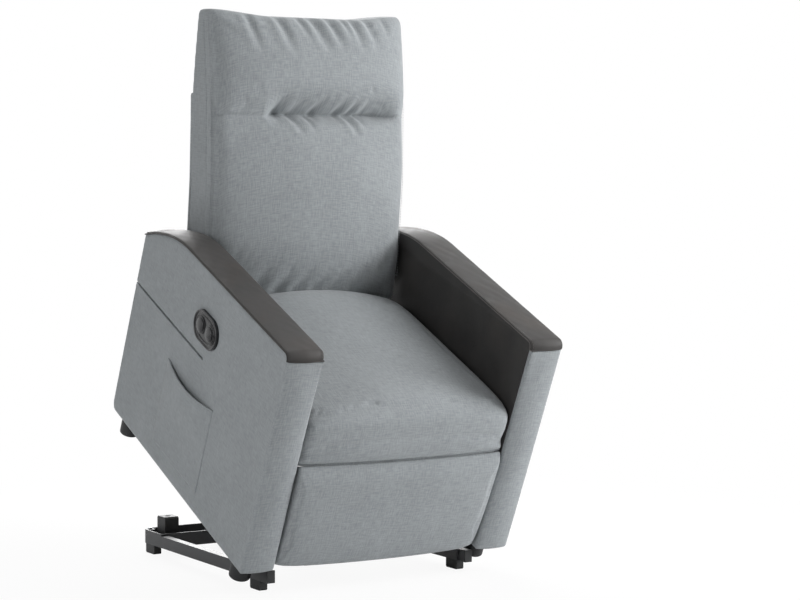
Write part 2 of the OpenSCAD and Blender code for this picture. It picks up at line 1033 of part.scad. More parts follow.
module hinge_plates()
  color(steel)
    lifted()
      both()
        along_x(hinge_x, hinge_t)
          difference() {
            union() {
              bar(back_pivot, back_pivot + [-30, -75], 18);
              bar(back_pivot + [-46, -75], back_pivot + [10, -75], 14);
            }
            dot(back_pivot, hinge_pin_r);
          }

module hinge_pins()
  color(zinc)
    lifted()
      both() {
        pin(back_pivot, back_bracket_x - 0.4, seat_half, hinge_pin_r);
        pin(back_pivot, back_bracket_x - 3, back_bracket_x - 0.4, hinge_pin_r + 3);
      }

// The back is drawn along its slope from the pivot: [ahead and behind, up the slope]
module on_back()
  lifted()
    translate([0, back_pivot.x, back_pivot.y])
      rotate([-back_lean, 0, 0])
        children();

back_core_y = 30;
back_step = 8;
core_gap = 1.5;

// Line of the side crease between the soft front and the core
function crease(z) =
  -back_side_t + (z > head_seam ? 44 * pow((z - head_seam) / (back_l - head_seam), 1.4) : 0);

module back_brackets()
  color(steel)
    on_back()
      both()
        along_x(back_bracket_x, back_bracket_t)
          difference() {
            union() {
              dot([0, 0], 18);
              bar([0, 0], [-8, 150], 14);
            }
            dot([0, 0], hinge_pin_r + fit);
          }

core_w = 2 * back_bracket_x - 0.6;

module back_frame()
  color(cloth_dark)
    on_back()
      along_x(-core_w / 2, core_w)
        union() {
          polygon(concat(
            [[-back_side_t, back_base], [back_core_y, back_base], [back_core_y, head_seam + 32],
              [back_core_y + back_step, head_seam + 32], [back_core_y + back_step, head_seam + 90],
              [back_core_y, back_l - 40], [back_core_y - 26, back_l - 14]],
            [for (i = [0:8]) let (z = back_l - 14 - i * (back_l - 14 - head_seam) / 8)
              [crease(z) + core_gap, z]],
            [[-back_side_t, head_seam - 12]]
          ));
          dot([back_core_y - 26, back_l - 40], 26);
        }

shell_t = 16;

module back_shell()
  color(cloth)
    on_back()
      along_x(-core_w / 2, core_w)
        polygon([[back_core_y, 48], [back_core_y + 5, 48], [back_core_y + shell_t, head_seam - 20],
          [back_core_y + shell_t, head_seam + 26], [back_core_y + shell_t - 5, head_seam + 31],
          [back_core_y, head_seam + 31]]);

// Soft front of the back between two heights, with its own crown
function pillow_place(u, v, s, z0, z1, edge, crown) =
  let (z = z0 + (v + 1) / 2 * (z1 - z0))
  let (rear = crease(z))
  let (front = rear - edge - crown * (1 - fall(s)))
  [rear + (1 - u) / 2 * (front - rear), z];

// The lumbar cushion follows the seat's crown, so its sides hang lower than its middle
lumbar_low = 42;
lumbar_sides = 20;
lumbar_edge = 30;
head_edge = 32;

module lumbar_cushion()
  color(cloth)
    on_back()
      soft(back_w / 2, 36, 5, 4,
        function (u, v, s) pillow_place(u, v, s, lumbar_low - lumbar_sides * pow(s, 3),
          head_seam, lumbar_edge, lumbar_crown));

module headrest()
  color(cloth)
    on_back()
      soft(back_w / 2, 32, 3, 5,
        function (u, v, s) pillow_place(u, v, s, head_seam, back_l + 4, head_edge, head_crown));

// ---------------------------------------------------------------- footrest

module footrest_arms()
  color(steel)
    lifted()
      both()
        along_x(outer_x, foot_bar_t)
          difference() {
            union() {
              bar(foot_pivot, follow_knee, foot_bar_r);
              dot(foot_pivot, 13);
            }
            dot(foot_pivot, foot_pin_r + 2.5);
            dot(knee, foot_pin_r);
            dot(follow_knee, foot_pin_r);
          }

module footrest_tube()
  color(steel)
    lifted() {
      pin(foot_pivot, -outer_x, outer_x, foot_tube_r);
      pin(foot_pivot, -mech_x - mech_t, mech_x + mech_t, foot_pin_r + 2.5);
    }

module footrest_links()
  color(steel)
    lifted()
      both()
        along_x(inner_x, foot_bar_t)
          difference() {
            union() {
              bar(knee, foot_end, foot_bar_r);
              bar(knee, strut_end, foot_bar_r);
            }
            dot(knee, foot_pin_r + fit);
            dot(foot_end, foot_pin_r + fit);
            dot(strut_end, foot_pin_r + fit);
          }

module footrest_followers()
  color(steel)
    lifted()
      both()
        along_x(inner_x, foot_bar_t)
          difference() {
            bar(follow_knee, follow_end, foot_bar_r);
            dot(follow_knee, foot_pin_r + fit);
            dot(follow_end, foot_pin_r + fit);
          }

module footrest_struts()
  color(steel)
    lifted()
      both()
        along_x(outer_x, foot_bar_t)
          difference() {
            bar(strut_pivot, strut_end, foot_bar_r);
            dot(strut_pivot, foot_pin_r + fit);
            dot(strut_end, foot_pin_r);
          }

module footrest_brackets()
  color(steel)
    lifted()
      both() {
        along_x(outer_x, foot_bar_t)
          difference() {
            union() {
              bar(foot_end, follow_end, foot_bar_r + 2);
              translate([board_y + board_t, follow_end.y - 18])
                square([14, foot_end.y - follow_end.y + 32]);
            }
            dot(foot_end, foot_pin_r);
            dot(follow_end, foot_pin_r);
          }
        translate([outer_x - 24, board_y + board_t, follow_end.y - 18])
          cube([24, 2.5, foot_end.y - follow_end.y + 32]);
      }

// The rivets stay in the arms, the struts and the brackets; the bars in the inner layer turn on them
module arm_rivets()
  color(zinc)
    lifted()
      both()
        for (p = [knee, follow_knee])
          rivet(p, inner_x - 0.4, outer_x + foot_bar_t);

module strut_rivets()
  color(zinc)
    lifted()
      both()
        rivet(strut_end, inner_x - 0.4, outer_x + foot_bar_t);

module bracket_rivets()
  color(zinc)
    lifted()
      both()
        for (p = [foot_end, follow_end])
          rivet(p, inner_x - 0.4, outer_x + foot_bar_t);

module footrest_board()
  color(wood)
    lifted()
      translate([-board_w / 2, board_y, board_z[0]])
        cube([board_w, board_t, board_z[1] - board_z[0]]);

// The front face leans in toward the bottom, the bottom bows and the top falls away behind
function pad_place(u, v, s) =
  let (front = -18 - pad_crown * (1 - fall(s)))
  let (low = -12 + 4 * pow(s, 2) + 9 * pow(s, 12))
  let (rise = (v + 1) / 2)
  let (y = front + (u + 1) / 2 * (board_y - 1 - front) + 9 * (1 - u) / 2 * pow(1 - rise, 2))
  let (top = pad_top - 0.62 * max(0, y + 9))
  [y, low + rise * (top - low)];

module footrest_pad()
  color(cloth)
    lifted()
      soft(pad_w / 2, 40, 4, 4, function (u, v, s) pad_place(u, v, s));

base_rails();
rail_plugs();
foot_blocks();
rear_channel();
rest_blocks();
base_brackets();
actuator_anchor();
base_pins();
base_bolts();
lift_arms();
torque_tube();
lever_plates();
lever_pin();
front_links();
actuator_body();
lift_motor();
actuator_rod();
cheek_plates();
cross_tubes();
chair_pins();
mech_plates();
mech_pins();
seat_rails();
seat_springs();
seat_cushion();
rest_beam();
right_panel();
left_panel();
right_arm_top();
left_arm_top();
arm_linings();
side_pocket();
control_bezel();
chair_feet();
rear_panel();
power_inlet();
hinge_plates();
hinge_pins();
button_up();
button_down();
footrest_arms();
footrest_tube();
footrest_links();
footrest_followers();
footrest_struts();
footrest_brackets();
arm_rivets();
strut_rivets();
bracket_rivets();
footrest_board();
footrest_pad();
back_brackets();
back_frame();
back_shell();
lumbar_cushion();
headrest();
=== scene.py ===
# Lift recliner chair: upholstery, leather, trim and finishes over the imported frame.
# Lengths in the dictionaries are millimetres in the chair's own upright frame unless a note says otherwise:
# x to the sitter's left, y from the seat's front to the rear, z up from the side panels' lower edge.
import math
import bpy
import numpy as np
from mathutils import Euler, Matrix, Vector
from mathutils.bvhtree import BVHTree


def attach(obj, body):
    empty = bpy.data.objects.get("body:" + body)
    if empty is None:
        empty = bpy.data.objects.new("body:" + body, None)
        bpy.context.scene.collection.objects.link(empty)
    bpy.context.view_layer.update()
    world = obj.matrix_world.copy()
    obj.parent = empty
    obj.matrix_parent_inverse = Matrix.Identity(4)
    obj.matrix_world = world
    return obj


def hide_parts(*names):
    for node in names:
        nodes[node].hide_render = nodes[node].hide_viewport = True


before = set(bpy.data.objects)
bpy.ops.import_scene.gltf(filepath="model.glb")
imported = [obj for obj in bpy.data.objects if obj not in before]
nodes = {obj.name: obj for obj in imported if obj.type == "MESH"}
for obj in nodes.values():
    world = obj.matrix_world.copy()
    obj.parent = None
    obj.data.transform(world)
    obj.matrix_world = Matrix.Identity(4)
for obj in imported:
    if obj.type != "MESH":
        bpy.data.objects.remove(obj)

scene = bpy.context.scene
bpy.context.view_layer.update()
print("frame loaded with", len(nodes), "nodes")

# The raised chair stands tilted on its lift, and the back leans on its own pivot
stance = {"tilt": 24.47, "raise": 56.3, "originY": 224.5, "pivotY": 620.0, "pivotZ": 330.0, "lean": 18.3}
tilt, lean = math.radians(stance["tilt"]), math.radians(stance["lean"])
sides = (("left", 1), ("right", -1))


def fromChair(p):  # chair mm to scene metres
    p = np.asarray(p, float)
    y = p[..., 1] * math.cos(tilt) - p[..., 2] * math.sin(tilt) - stance["originY"]
    z = p[..., 1] * math.sin(tilt) + p[..., 2] * math.cos(tilt) + stance["raise"]
    return np.stack([p[..., 0], y, z], -1) / 1000


def toChair(q):
    q = np.asarray(q, float) * 1000
    y, z = q[..., 1] + stance["originY"], q[..., 2] - stance["raise"]
    along, up = y * math.cos(tilt) + z * math.sin(tilt), -y * math.sin(tilt) + z * math.cos(tilt)
    return np.stack([q[..., 0], along, up], -1)


def fromBack(p):  # mm along the back's slope to scene metres
    p = np.asarray(p, float)
    y = stance["pivotY"] + p[..., 1] * math.cos(lean) + p[..., 2] * math.sin(lean)
    z = stance["pivotZ"] - p[..., 1] * math.sin(lean) + p[..., 2] * math.cos(lean)
    return fromChair(np.stack([p[..., 0], y, z], -1))


def toBack(q):
    c = toChair(q)
    y, z = c[..., 1] - stance["pivotY"], c[..., 2] - stance["pivotZ"]
    along, up = y * math.cos(lean) - z * math.sin(lean), y * math.sin(lean) + z * math.cos(lean)
    return np.stack([c[..., 0], along, up], -1)


# ---- camera and light

view = {
    "place": (-2.592136, -4.530376, 0.939812), "azimuth": 31.6426, "elevation": -3.3365, "roll": 0.157,
    "lens": 100.13, "sensor": 36,
}
cameraData = bpy.data.cameras.new("viewCamera")
cameraData.lens, cameraData.sensor_width = view["lens"], view["sensor"]
cameraObject = bpy.data.objects.new("viewCamera", cameraData)
scene.collection.objects.link(cameraObject)
aim = Euler((math.radians(90 + view["elevation"]), 0, math.radians(-view["azimuth"]))).to_matrix()
turn = Euler((0, 0, math.radians(view["roll"]))).to_matrix()
cameraObject.matrix_world = (aim @ turn).to_4x4()
cameraObject.location = view["place"]
scene.camera = cameraObject

lamps = {
    "keyRight": {"at": (3.2, -2.4, 1.5), "size": 1.6, "power": 104},
    "keyHigh": {"at": (2.6, -1.8, 3.2), "size": 1.8, "power": 66},
    "fillLeft": {"at": (-3.6, -1.2, 1.6), "size": 2.4, "power": 47},
    "topSoft": {"at": (0.2, 0.6, 3.6), "size": 3.0, "power": 36},
    "rearSoft": {"at": (1.2, 3.6, 2.2), "size": 2.6, "power": 160},
}
chairMiddle = Vector((0, 0, 0.65))
for name, lamp in lamps.items():
    data = bpy.data.lights.new(name, "AREA")
    data.shape, data.size, data.energy = "SQUARE", lamp["size"], lamp["power"]
    lampObject = bpy.data.objects.new(name, data)
    lampObject.location = lamp["at"]
    lampObject.rotation_euler = (chairMiddle - Vector(lamp["at"])).to_track_quat("-Z", "Y").to_euler()
    scene.collection.objects.link(lampObject)
scene.view_settings.view_transform = "Standard"


# ---- materials

def linear(text):  # sRGB hex to linear RGBA
    v = [int(text[i:i + 2], 16) / 255 for i in (1, 3, 5)]
    return tuple(c / 12.92 if c <= 0.04045 else ((c + 0.055) / 1.055) ** 2.4 for c in v) + (1.0,)


def addNode(tree, kind, inputs=None, **settings):
    node = tree.nodes.new(kind)
    for key, value in settings.items():
        setattr(node, key, value)
    for key, value in (inputs or {}).items():
        if isinstance(value, bpy.types.NodeSocket):
            tree.links.new(value, node.inputs[key])
        else:
            node.inputs[key].default_value = value
    return node


def newMaterial(name):
    material = bpy.data.materials.new(name)
    material.use_nodes = True
    material.node_tree.nodes.clear()
    return material, material.node_tree


def placeOn(tree):  # the piece's own coordinates, in metres
    return addNode(tree, "ShaderNodeTexCoord").outputs["Object"]


def noise(tree, place, scale, detail, rough=0.5, dimensions="3D"):
    inputs = {"Vector": place, "Scale": scale, "Detail": detail, "Roughness": rough}
    return addNode(tree, "ShaderNodeTexNoise", inputs, noise_dimensions=dimensions).outputs["Fac"]


def maths(tree, operation, *values):
    return addNode(tree, "ShaderNodeMath", dict(enumerate(values)), operation=operation).outputs[0]


def mix(tree, share, first, second):
    return addNode(tree, "ShaderNodeMix", {0: share, 6: first, 7: second}, data_type="RGBA").outputs[2]


def twoTones(tree, share, low, dark, high, light):
    tones = addNode(tree, "ShaderNodeValToRGB", {"Fac": share})
    for element, at, shade in zip(tones.color_ramp.elements, (low, high), (dark, light)):
        element.position, element.color = at, linear(shade)
    return tones.outputs[0]


def fit(tree, value, start, end, low=0.0, high=1.0, easing="LINEAR"):  # low to high becomes start to end
    inputs = {"Value": value, "From Min": low, "From Max": high, "To Min": start, "To Max": end}
    return addNode(tree, "ShaderNodeMapRange", inputs, interpolation_type=easing).outputs[0]


def relief(tree, height, strength, distance, **more):
    inputs = {"Strength": strength, "Distance": distance, "Height": height, **more}
    return addNode(tree, "ShaderNodeBump", inputs).outputs[0]


def finishMaterial(tree, colour, rough, normal, **plain):
    shader = addNode(tree, "ShaderNodeBsdfPrincipled", {"Base Color": colour, "Roughness": rough})
    if normal is not None:
        tree.links.new(normal, shader.inputs["Normal"])
    for key, value in plain.items():
        shader.inputs[key].default_value = value
    addNode(tree, "ShaderNodeOutputMaterial", {"Surface": shader.outputs[0]})


# Slubbed plain-weave polyester linen: thick and thin yarns make short crosswise and lengthwise dashes.
# Real yarns are 0.7 mm apart, too fine to show, so the dashes are drawn 2.5 mm thick and 25 mm long.
def wovenLinen(name, dark, light):
    material, tree = newMaterial(name)
    cloth = addNode(tree, "ShaderNodeUVMap", uv_map="weave").outputs[0]
    across = addNode(tree, "ShaderNodeMapping", {"Vector": cloth, "Scale": (38, 400, 1)}).outputs[0]
    lengthwise = {"Vector": cloth, "Scale": (370, 42, 1), "Location": (3.1, 7.7, 0)}
    along = addNode(tree, "ShaderNodeMapping", lengthwise).outputs[0]
    weft = noise(tree, across, 1.0, 3.0, 0.55, "2D")
    warp = noise(tree, along, 1.0, 3.0, 0.55, "2D")
    half = maths(tree, "MULTIPLY", maths(tree, "ADD", weft, warp), 0.5)
    tone = noise(tree, cloth, 9.0, 2.0, dimensions="2D")
    shades = twoTones(tree, maths(tree, "MULTIPLY_ADD", tone, 0.16, half), 0.38, dark, 0.78, light)
    sheen = {"Specular IOR Level": 0.25, "Sheen Weight": 0.22, "Sheen Roughness": 0.55}
    finishMaterial(tree, shades, 0.88, relief(tree, half, 0.5, 0.0012), **sheen)
    return material


# Corrected-grain bovine leather, drum dyed: a fine pebble under a satin topcoat, with warm patches that are partly
# rubbed wear and partly painted highlight.
# The real pebble is about 1 mm; it is drawn at 3 mm.
def pebbledLeather(name, dark, light, rubbedAndSheen, patches, rough):
    material, tree = newMaterial(name)
    place = placeOn(tree)
    cells = {"Vector": place, "Scale": 330.0}
    pebble = addNode(tree, "ShaderNodeTexVoronoi", cells, feature="DISTANCE_TO_EDGE").outputs["Distance"]
    cloud = noise(tree, place, 14.0, 5.0, 0.6)
    wornAndSheen = noise(tree, place, 7.5, 3.0)
    base = twoTones(tree, cloud, 0.32, dark, 0.68, light)
    # Warm lighter patches: partly rubbed wear, partly a painted highlight where the tops catch the light
    colour = mix(tree, fit(tree, wornAndSheen, 0.0, patches, 0.5, 0.72), base, linear(rubbedAndSheen))
    gloss = fit(tree, cloud, rough - 0.06, rough + 0.1, 0.3, 0.7)
    grain = relief(tree, pebble, 0.22, 0.0006)
    soft = relief(tree, cloud, 0.35, 0.003, Normal=grain)
    finishMaterial(tree, colour, gloss, soft, **{"Specular IOR Level": 0.28})
    return material


# Polyester powder coat on steel, cured to a fine orange peel: satin, near black.
# Moulded and glossy nylon take the same form with their own roughness.
def powderCoat(name, dark, light, rough):
    material, tree = newMaterial(name)
    place = placeOn(tree)
    peel, dust = noise(tree, place, 420.0, 2.0), noise(tree, place, 22.0, 4.0)
    colour = mix(tree, dust, linear(dark), linear(light))
    gloss = fit(tree, dust, rough - 0.08, rough + 0.1)
    finishMaterial(tree, colour, gloss, relief(tree, peel, 0.18, 0.0004), **{"Specular IOR Level": 0.5})
    return material


# Bright zinc plate, clear passivated: soft metal sheen with a faint spangle
def zincPlate(name):
    material, tree = newMaterial(name)
    cells = {"Vector": placeOn(tree), "Scale": 180.0}
    spangle = addNode(tree, "ShaderNodeTexVoronoi", cells).outputs["Distance"]
    colour = mix(tree, spangle, linear("#9fa3a6"), linear("#c9ccce"))
    finishMaterial(tree, colour, fit(tree, spangle, 0.28, 0.42), None, **{"Metallic": 1.0})
    return material


# Birch plywood, sanded and left raw: long grain streaks about 4 mm apart
def rawPlywood(name):
    material, tree = newMaterial(name)
    long = addNode(tree, "ShaderNodeMapping", {"Vector": placeOn(tree), "Scale": (9, 240, 240)}).outputs[0]
    grain = noise(tree, long, 1.0, 5.0)
    colour = mix(tree, grain, linear("#9c7a4b"), linear("#cfae7c"))
    finishMaterial(tree, colour, 0.7, relief(tree, grain, 0.2, 0.0006))
    return material


# The side copy is the same linen a little darker: painted shade for the arm sides, the rear panel and the pocket
clothLight = wovenLinen("slubbedLinenLight", "#8b9093", "#a8adb0")
clothShadedSide = wovenLinen("slubbedLinenShadedSide", "#898e91", "#a4a9ac")
leatherTop = pebbledLeather("pebbledLeatherTop", "#343332", "#3f3d3c", "#4a423c", 0.35, 0.52)
leatherInner = pebbledLeather("pebbledLeatherInner", "#333232", "#3e3d3c", "#423e3b", 0.3, 0.52)
pipingLeather = pebbledLeather("pipingLeather", "#2a2827", "#3a3735", "#3a3735", 0.2, 0.5)
seamLeather = pebbledLeather("seamLeather", "#4e4c4a", "#6a6765", "#6a6765", 0.2, 0.5)
# Near-black painted shade: it goes on the cutter of the slit, meant for its cut faces, and on the dust cloth in the gap
# between seat and footrest
paintedShadeBlack = powderCoat("paintedShadeBlack", "#131415", "#1a1b1c", 0.8)
satinSteel = powderCoat("satinPowderCoat", "#2c2d2f", "#3a3b3e", 0.42)
glossBlack = powderCoat("glossNylon", "#17181a", "#202124", 0.26)
mouldedBlack = powderCoat("mouldedNylon", "#18191a", "#242527", 0.55)
zinc = zincPlate("zincPlate")
plywood = rawPlywood("rawPlywood")
print("materials made")


# ---- mesh helpers

def newPiece(name, points, faces, material):
    mesh = bpy.data.meshes.new(name)
    mesh.from_pydata([tuple(p) for p in points], [], faces)
    mesh.update()
    piece = bpy.data.objects.new(name, mesh)
    scene.collection.objects.link(piece)
    mesh.materials.append(material)
    mesh.shade_smooth()
    return piece


def pointsOf(piece):
    co = np.zeros(len(piece.data.vertices) * 3, np.float32)
    piece.data.vertices.foreach_get("co", co)
    return co.reshape(-1, 3).astype(float)


def setPoints(piece, points):
    piece.data.vertices.foreach_set("co", np.asarray(points, np.float32).ravel())
    piece.data.update()


def normalsOf(piece):
    n = np.zeros(len(piece.data.vertices) * 3, np.float32)
    piece.data.vertex_normals.foreach_get("vector", n)
    return n.reshape(-1, 3).astype(float)


def solvedMesh(piece):
    graph = bpy.context.evaluated_depsgraph_get()
    return bpy.data.meshes.new_from_object(piece.evaluated_get(graph), depsgraph=graph)


def settle(piece):  # turns the live modifiers into plain mesh
    done = solvedMesh(piece)
    piece.modifiers.clear()
    old = piece.data
    piece.data = done
    done.name = piece.name
    bpy.data.meshes.remove(old)
    done.shade_smooth()
    return piece


def reskin(piece, voxel, smoothing=0):
    skin = piece.modifiers.new("skin", "REMESH")
    skin.mode, skin.voxel_size, skin.use_smooth_shade = "VOXEL", voxel / 1000, True
    if smoothing:
        ease = piece.modifiers.new("ease", "SMOOTH")
        ease.factor, ease.iterations = 0.5, smoothing
    return settle(piece)


def refine(piece, levels=1):
    sub = piece.modifiers.new("refine", "SUBSURF")
    sub.levels = sub.render_levels = levels
    return settle(piece)


def bevelled(piece, width, segments=3, limit=30, sharp=40):  # width in metres, angles in degrees
    edge = piece.modifiers.new("edge", "BEVEL")
    edge.width, edge.segments = width, segments
    edge.limit_method, edge.angle_limit = "ANGLE", math.radians(limit)
    settle(piece)
    piece.data.set_sharp_from_angle(angle=math.radians(sharp))
    return piece


def layWeave(piece, toLocal):  # the weave runs u across and v up the front and back over the top
    mesh = piece.data
    local = toLocal(pointsOf(piece))
    origin = toLocal(np.zeros((1, 3)))
    normals = toLocal(normalsOf(piece)) - origin
    normals /= np.linalg.norm(normals, axis=1)[:, None] + 1e-9
    loops = np.zeros(len(mesh.loops), np.int32)
    mesh.loops.foreach_get("vertex_index", loops)
    polyOf = np.repeat(np.arange(len(mesh.polygons)), [p.loop_total for p in mesh.polygons])
    sums = np.zeros((len(mesh.polygons), 3))
    np.add.at(sums, polyOf, normals[loops])
    sums /= np.linalg.norm(sums, axis=1)[:, None] + 1e-9
    sideways = np.abs(sums[polyOf, 0]) > 0.72
    p = local[loops]
    u = np.where(sideways, p[:, 1], p[:, 0]) / 1000
    v = np.where(sideways, p[:, 2], p[:, 1] + p[:, 2]) / 1000
    layer = mesh.uv_layers.get("weave") or mesh.uv_layers.new(name="weave")
    layer.data.foreach_set("uv", np.stack([u, v], 1).astype(np.float32).ravel())


def falling(s):  # share of the crown lost at a station of the half width
    return 0.6 * s ** 2 + 0.4 * s ** 12


def station(c, half):  # 0 at the middle of the width, 1 at either side
    return np.clip(np.abs(c[:, 0]) / half, 0, 1)


def ramp(low, high, x):
    t = np.clip((np.asarray(x, float) - low) / (high - low), 0, 1)
    return t * t * (3 - 2 * t)


def bands(rings, count, outward=False):  # quads between closed rings laid one after another
    faces = []
    for i in range(rings - 1):
        for j in range(count):
            a, b = i * count + j, i * count + (j + 1) % count
            faces.append((a, a + count, b + count, b) if outward else (a, b, b + count, a + count))
    return faces


def loft(halfWidth, ring, count, stations):  # joins the rings that ring(s) draws across the width
    rows = []
    for s in np.sin(np.linspace(-np.pi / 2, np.pi / 2, stations)):
        y, z = ring(abs(s))
        rows.append(np.stack([np.full(count, s * halfWidth), y, z], 1))
    faces = bands(stations, count)
    faces.append(tuple(range(count - 1, -1, -1)))
    faces.append(tuple(range((stations - 1) * count, stations * count)))
    return np.concatenate(rows), faces


def slab(outline, x0, x1):
    count = len(outline)
    points = [(x0, y, z) for y, z in outline] + [(x1, y, z) for y, z in outline]
    faces = [tuple(range(count - 1, -1, -1)), tuple(range(count, 2 * count))]
    faces += [(i, (i + 1) % count, count + (i + 1) % count, count + i) for i in range(count)]
    return np.array(points, float), faces


def mirrored(points, faces, side):
    if side > 0:
        return points, faces
    return points * np.array([-1, 1, 1]), [tuple(reversed(f)) for f in faces]


# Stuffing: pressure from inside swells the cover, which is held at its base and kept to a cap
stuffing = {"frames": 20, "quality": 5, "pressure": 4.0, "stretch": 12, "shear": 6, "bend": 0.6, "inward": 0.0015}


def stuff(piece, held, cap):
    start, normals = pointsOf(piece), normalsOf(piece)
    group = piece.vertex_groups.new(name="held")
    for index in np.nonzero(held)[0]:
        group.add([int(index)], 1.0, "REPLACE")
    cover = piece.modifiers.new("stuffing", "CLOTH")
    cover.settings.quality = stuffing["quality"]
    cover.settings.use_pressure = True
    cover.settings.uniform_pressure_force = stuffing["pressure"]
    cover.settings.tension_stiffness = cover.settings.compression_stiffness = stuffing["stretch"]
    cover.settings.shear_stiffness = stuffing["shear"]
    cover.settings.bending_stiffness = stuffing["bend"]
    cover.settings.effector_weights.gravity = 0
    cover.settings.vertex_group_mass = "held"
    cover.collision_settings.use_collision = False
    cover.point_cache.frame_start, cover.point_cache.frame_end = 1, stuffing["frames"]
    for number in range(1, stuffing["frames"] + 1):
        scene.frame_set(number)
    graph = bpy.context.evaluated_depsgraph_get()
    shaped = piece.evaluated_get(graph)
    moved = np.zeros(len(shaped.data.vertices) * 3, np.float32)
    shaped.data.vertices.foreach_get("co", moved)
    piece.modifiers.clear()
    piece.vertex_groups.clear()
    scene.frame_set(1)
    outward = ((moved.reshape(-1, 3) - start) * normals).sum(1)
    most, mean = round(float(outward.max()) * 1000, 1), round(float(outward.mean()) * 1000, 1)
    print("  ", piece.name, "swelled by up to", most, "mm, mean", mean)
    outward = np.clip(outward, -stuffing["inward"], cap / 1000)
    setPoints(piece, start + normals * outward[:, None])


# Folds and pulls drawn as strokes [x0, z0, x1, z1, width, depth] on the front of a cushion:
# each is a groove between two low ridges, and fades towards its second end
def pressFolds(local, facing, strokes):
    push = np.zeros(len(local))
    for x0, z0, x1, z1, width, depth in strokes:
        dx, dz = x1 - x0, z1 - z0
        length = math.hypot(dx, dz)
        t = ((local[:, 0] - x0) * dx + (local[:, 2] - z0) * dz) / length ** 2
        d = ((local[:, 0] - x0) * dz - (local[:, 2] - z0) * dx) / length
        clipped = np.clip(t, 0, 1)
        past = np.abs(t - clipped) * length
        ends = np.exp(-(past / width) ** 2) * (1 - 0.85 * clipped ** 1.5)
        groove = -np.exp(-(d / width) ** 2) + 0.45 * np.exp(-((d - 1.7 * width) / width) ** 2)
        groove += 0.3 * np.exp(-((d + 1.8 * width) / width) ** 2)
        push += depth * ends * groove
    return push * facing


def keepClear(piece, other, gap):  # moves points of a piece that lie in or too near another out to a gap
    tree = BVHTree.FromObject(other, bpy.context.evaluated_depsgraph_get())
    points = pointsOf(piece)
    moved = 0
    for i, p in enumerate(points):
        hit, normal, _, _ = tree.find_nearest(Vector(p), 0.03)
        if hit is None:
            continue
        out = (Vector(p) - hit).dot(normal)
        if out < gap / 1000:
            points[i] = hit + normal * (gap / 1000)
            moved += 1
    setPoints(piece, points)
    print("  ", piece.name, "kept clear of", other.name, "at", moved, "points")


# ---- cushions whose section is a rounded box: u runs from -1 at the front to 1, v from -1 at the base to 1

def ringForm(halfWidth, topN, lowN, place, tuck, count=88, stations=45):
    angle = np.linspace(0, 2 * np.pi, count, endpoint=False)
    e = 2 / np.where(np.sin(angle) > 0, topN, lowN)
    u = np.sign(np.cos(angle)) * np.abs(np.cos(angle)) ** e
    v = np.sign(np.sin(angle)) * np.abs(np.sin(angle)) ** e

    def ring(s):
        k = 1 - tuck * max(0.0, (s - 0.94) / 0.06) ** 2
        return place(k * u, k * v, s)
    return loft(halfWidth, ring, count, stations)


def reachOf(u, v, topN, lowN):  # 1 on the cushion's own outline, more outside it
    n = np.where(v > 0, topN, lowN)
    return (np.abs(u) ** n + np.abs(v) ** n) ** (1 / n)


def holdIn(c, unit, place, topN, lowN, spare=0.012):  # pulls points back inside the cushion's own envelope
    u, v, s = unit(c)
    k = np.minimum(1, (1 + spare) / np.maximum(reachOf(u, v, topN, lowN), 1e-6))
    y, z = place(u * k, v * k, s)
    return np.stack([c[:, 0], y, z], 1)


def crisp(piece, unit, place, topN, lowN, weight):  # brings the edge beside a seam back to its full form
    c = toChair(pointsOf(piece))
    u, v, s = unit(c)
    k = 1 + weight(u, v) * (1 / np.clip(reachOf(u, v, topN, lowN), 0.8, 1.3) - 1)
    y, z = place(u * k, v * k, s)
    setPoints(piece, fromChair(np.stack([c[:, 0], y, z], 1)))


def makeCushion(name, pad, place, unit, form, held, hold, edge):
    points, faces = ringForm(*form)
    piece = newPiece(name, fromChair(points), faces, clothLight)
    reskin(piece, pad["voxel"])
    u, v, s = unit(toChair(pointsOf(piece)))
    stuff(piece, held(u, v), pad["cap"])
    c = holdIn(toChair(pointsOf(piece)), unit, place, *hold)
    c[:, 0] = np.clip(c[:, 0], -pad["half"], pad["half"])
    setPoints(piece, fromChair(c))
    refine(piece)
    crisp(piece, unit, place, *edge)
    print(name, "made with", len(piece.data.polygons), "faces")
    return piece


# ---- seat cushion

seatPad = {
    "half": 266.0, "base": 266.0, "depth": 548.0, "edge": 382.0, "fall": 0.022, "crown": 22.0, "crownRise": 0.085,
    "frontSide": 10.0, "frontMiddle": 24.0, "turn": 7.5, "turnHigh": 58, "voxel": 5.5, "cap": 22,
}


def seatFront(s):
    return -seatPad["frontSide"] - (seatPad["frontMiddle"] - seatPad["frontSide"]) * (1 - falling(s))


def seatTop(s, y):
    p = seatPad
    return p["edge"] - p["fall"] * y + (p["crown"] + p["crownRise"] * y) * (1 - falling(s))


def turnUnder(z):  # the lower front edge draws back above the seam
    return seatPad["turn"] * np.clip(1 - (z - seatPad["base"]) / seatPad["turnHigh"], 0, 1) ** 2


def seatSeam(s):  # where the front meets the base
    return seatFront(s) + 2 * turnUnder(seatPad["base"])


def seatPlace(u, v, s):
    front = seatFront(s)
    y = front + (u + 1) / 2 * (seatPad["depth"] - front)
    z = seatPad["base"] + (v + 1) / 2 * (seatTop(s, y) - seatPad["base"])
    return y + (1 - u) * turnUnder(z), z


def seatUnit(c):
    s = station(c, seatPad["half"])
    front, q = seatFront(s), turnUnder(c[:, 2])
    half = (seatPad["depth"] - front) / 2
    u = (c[:, 1] - front - half - q) / (half - q)
    return u, (c[:, 2] - seatPad["base"]) / (seatTop(s, c[:, 1]) - seatPad["base"]) * 2 - 1, s


def seatStart(u, v, s):  # a little inside the envelope, which the stuffing fills
    return seatPlace(0.985 * u, np.where(v > 0, 0.975, 1) * v, s)


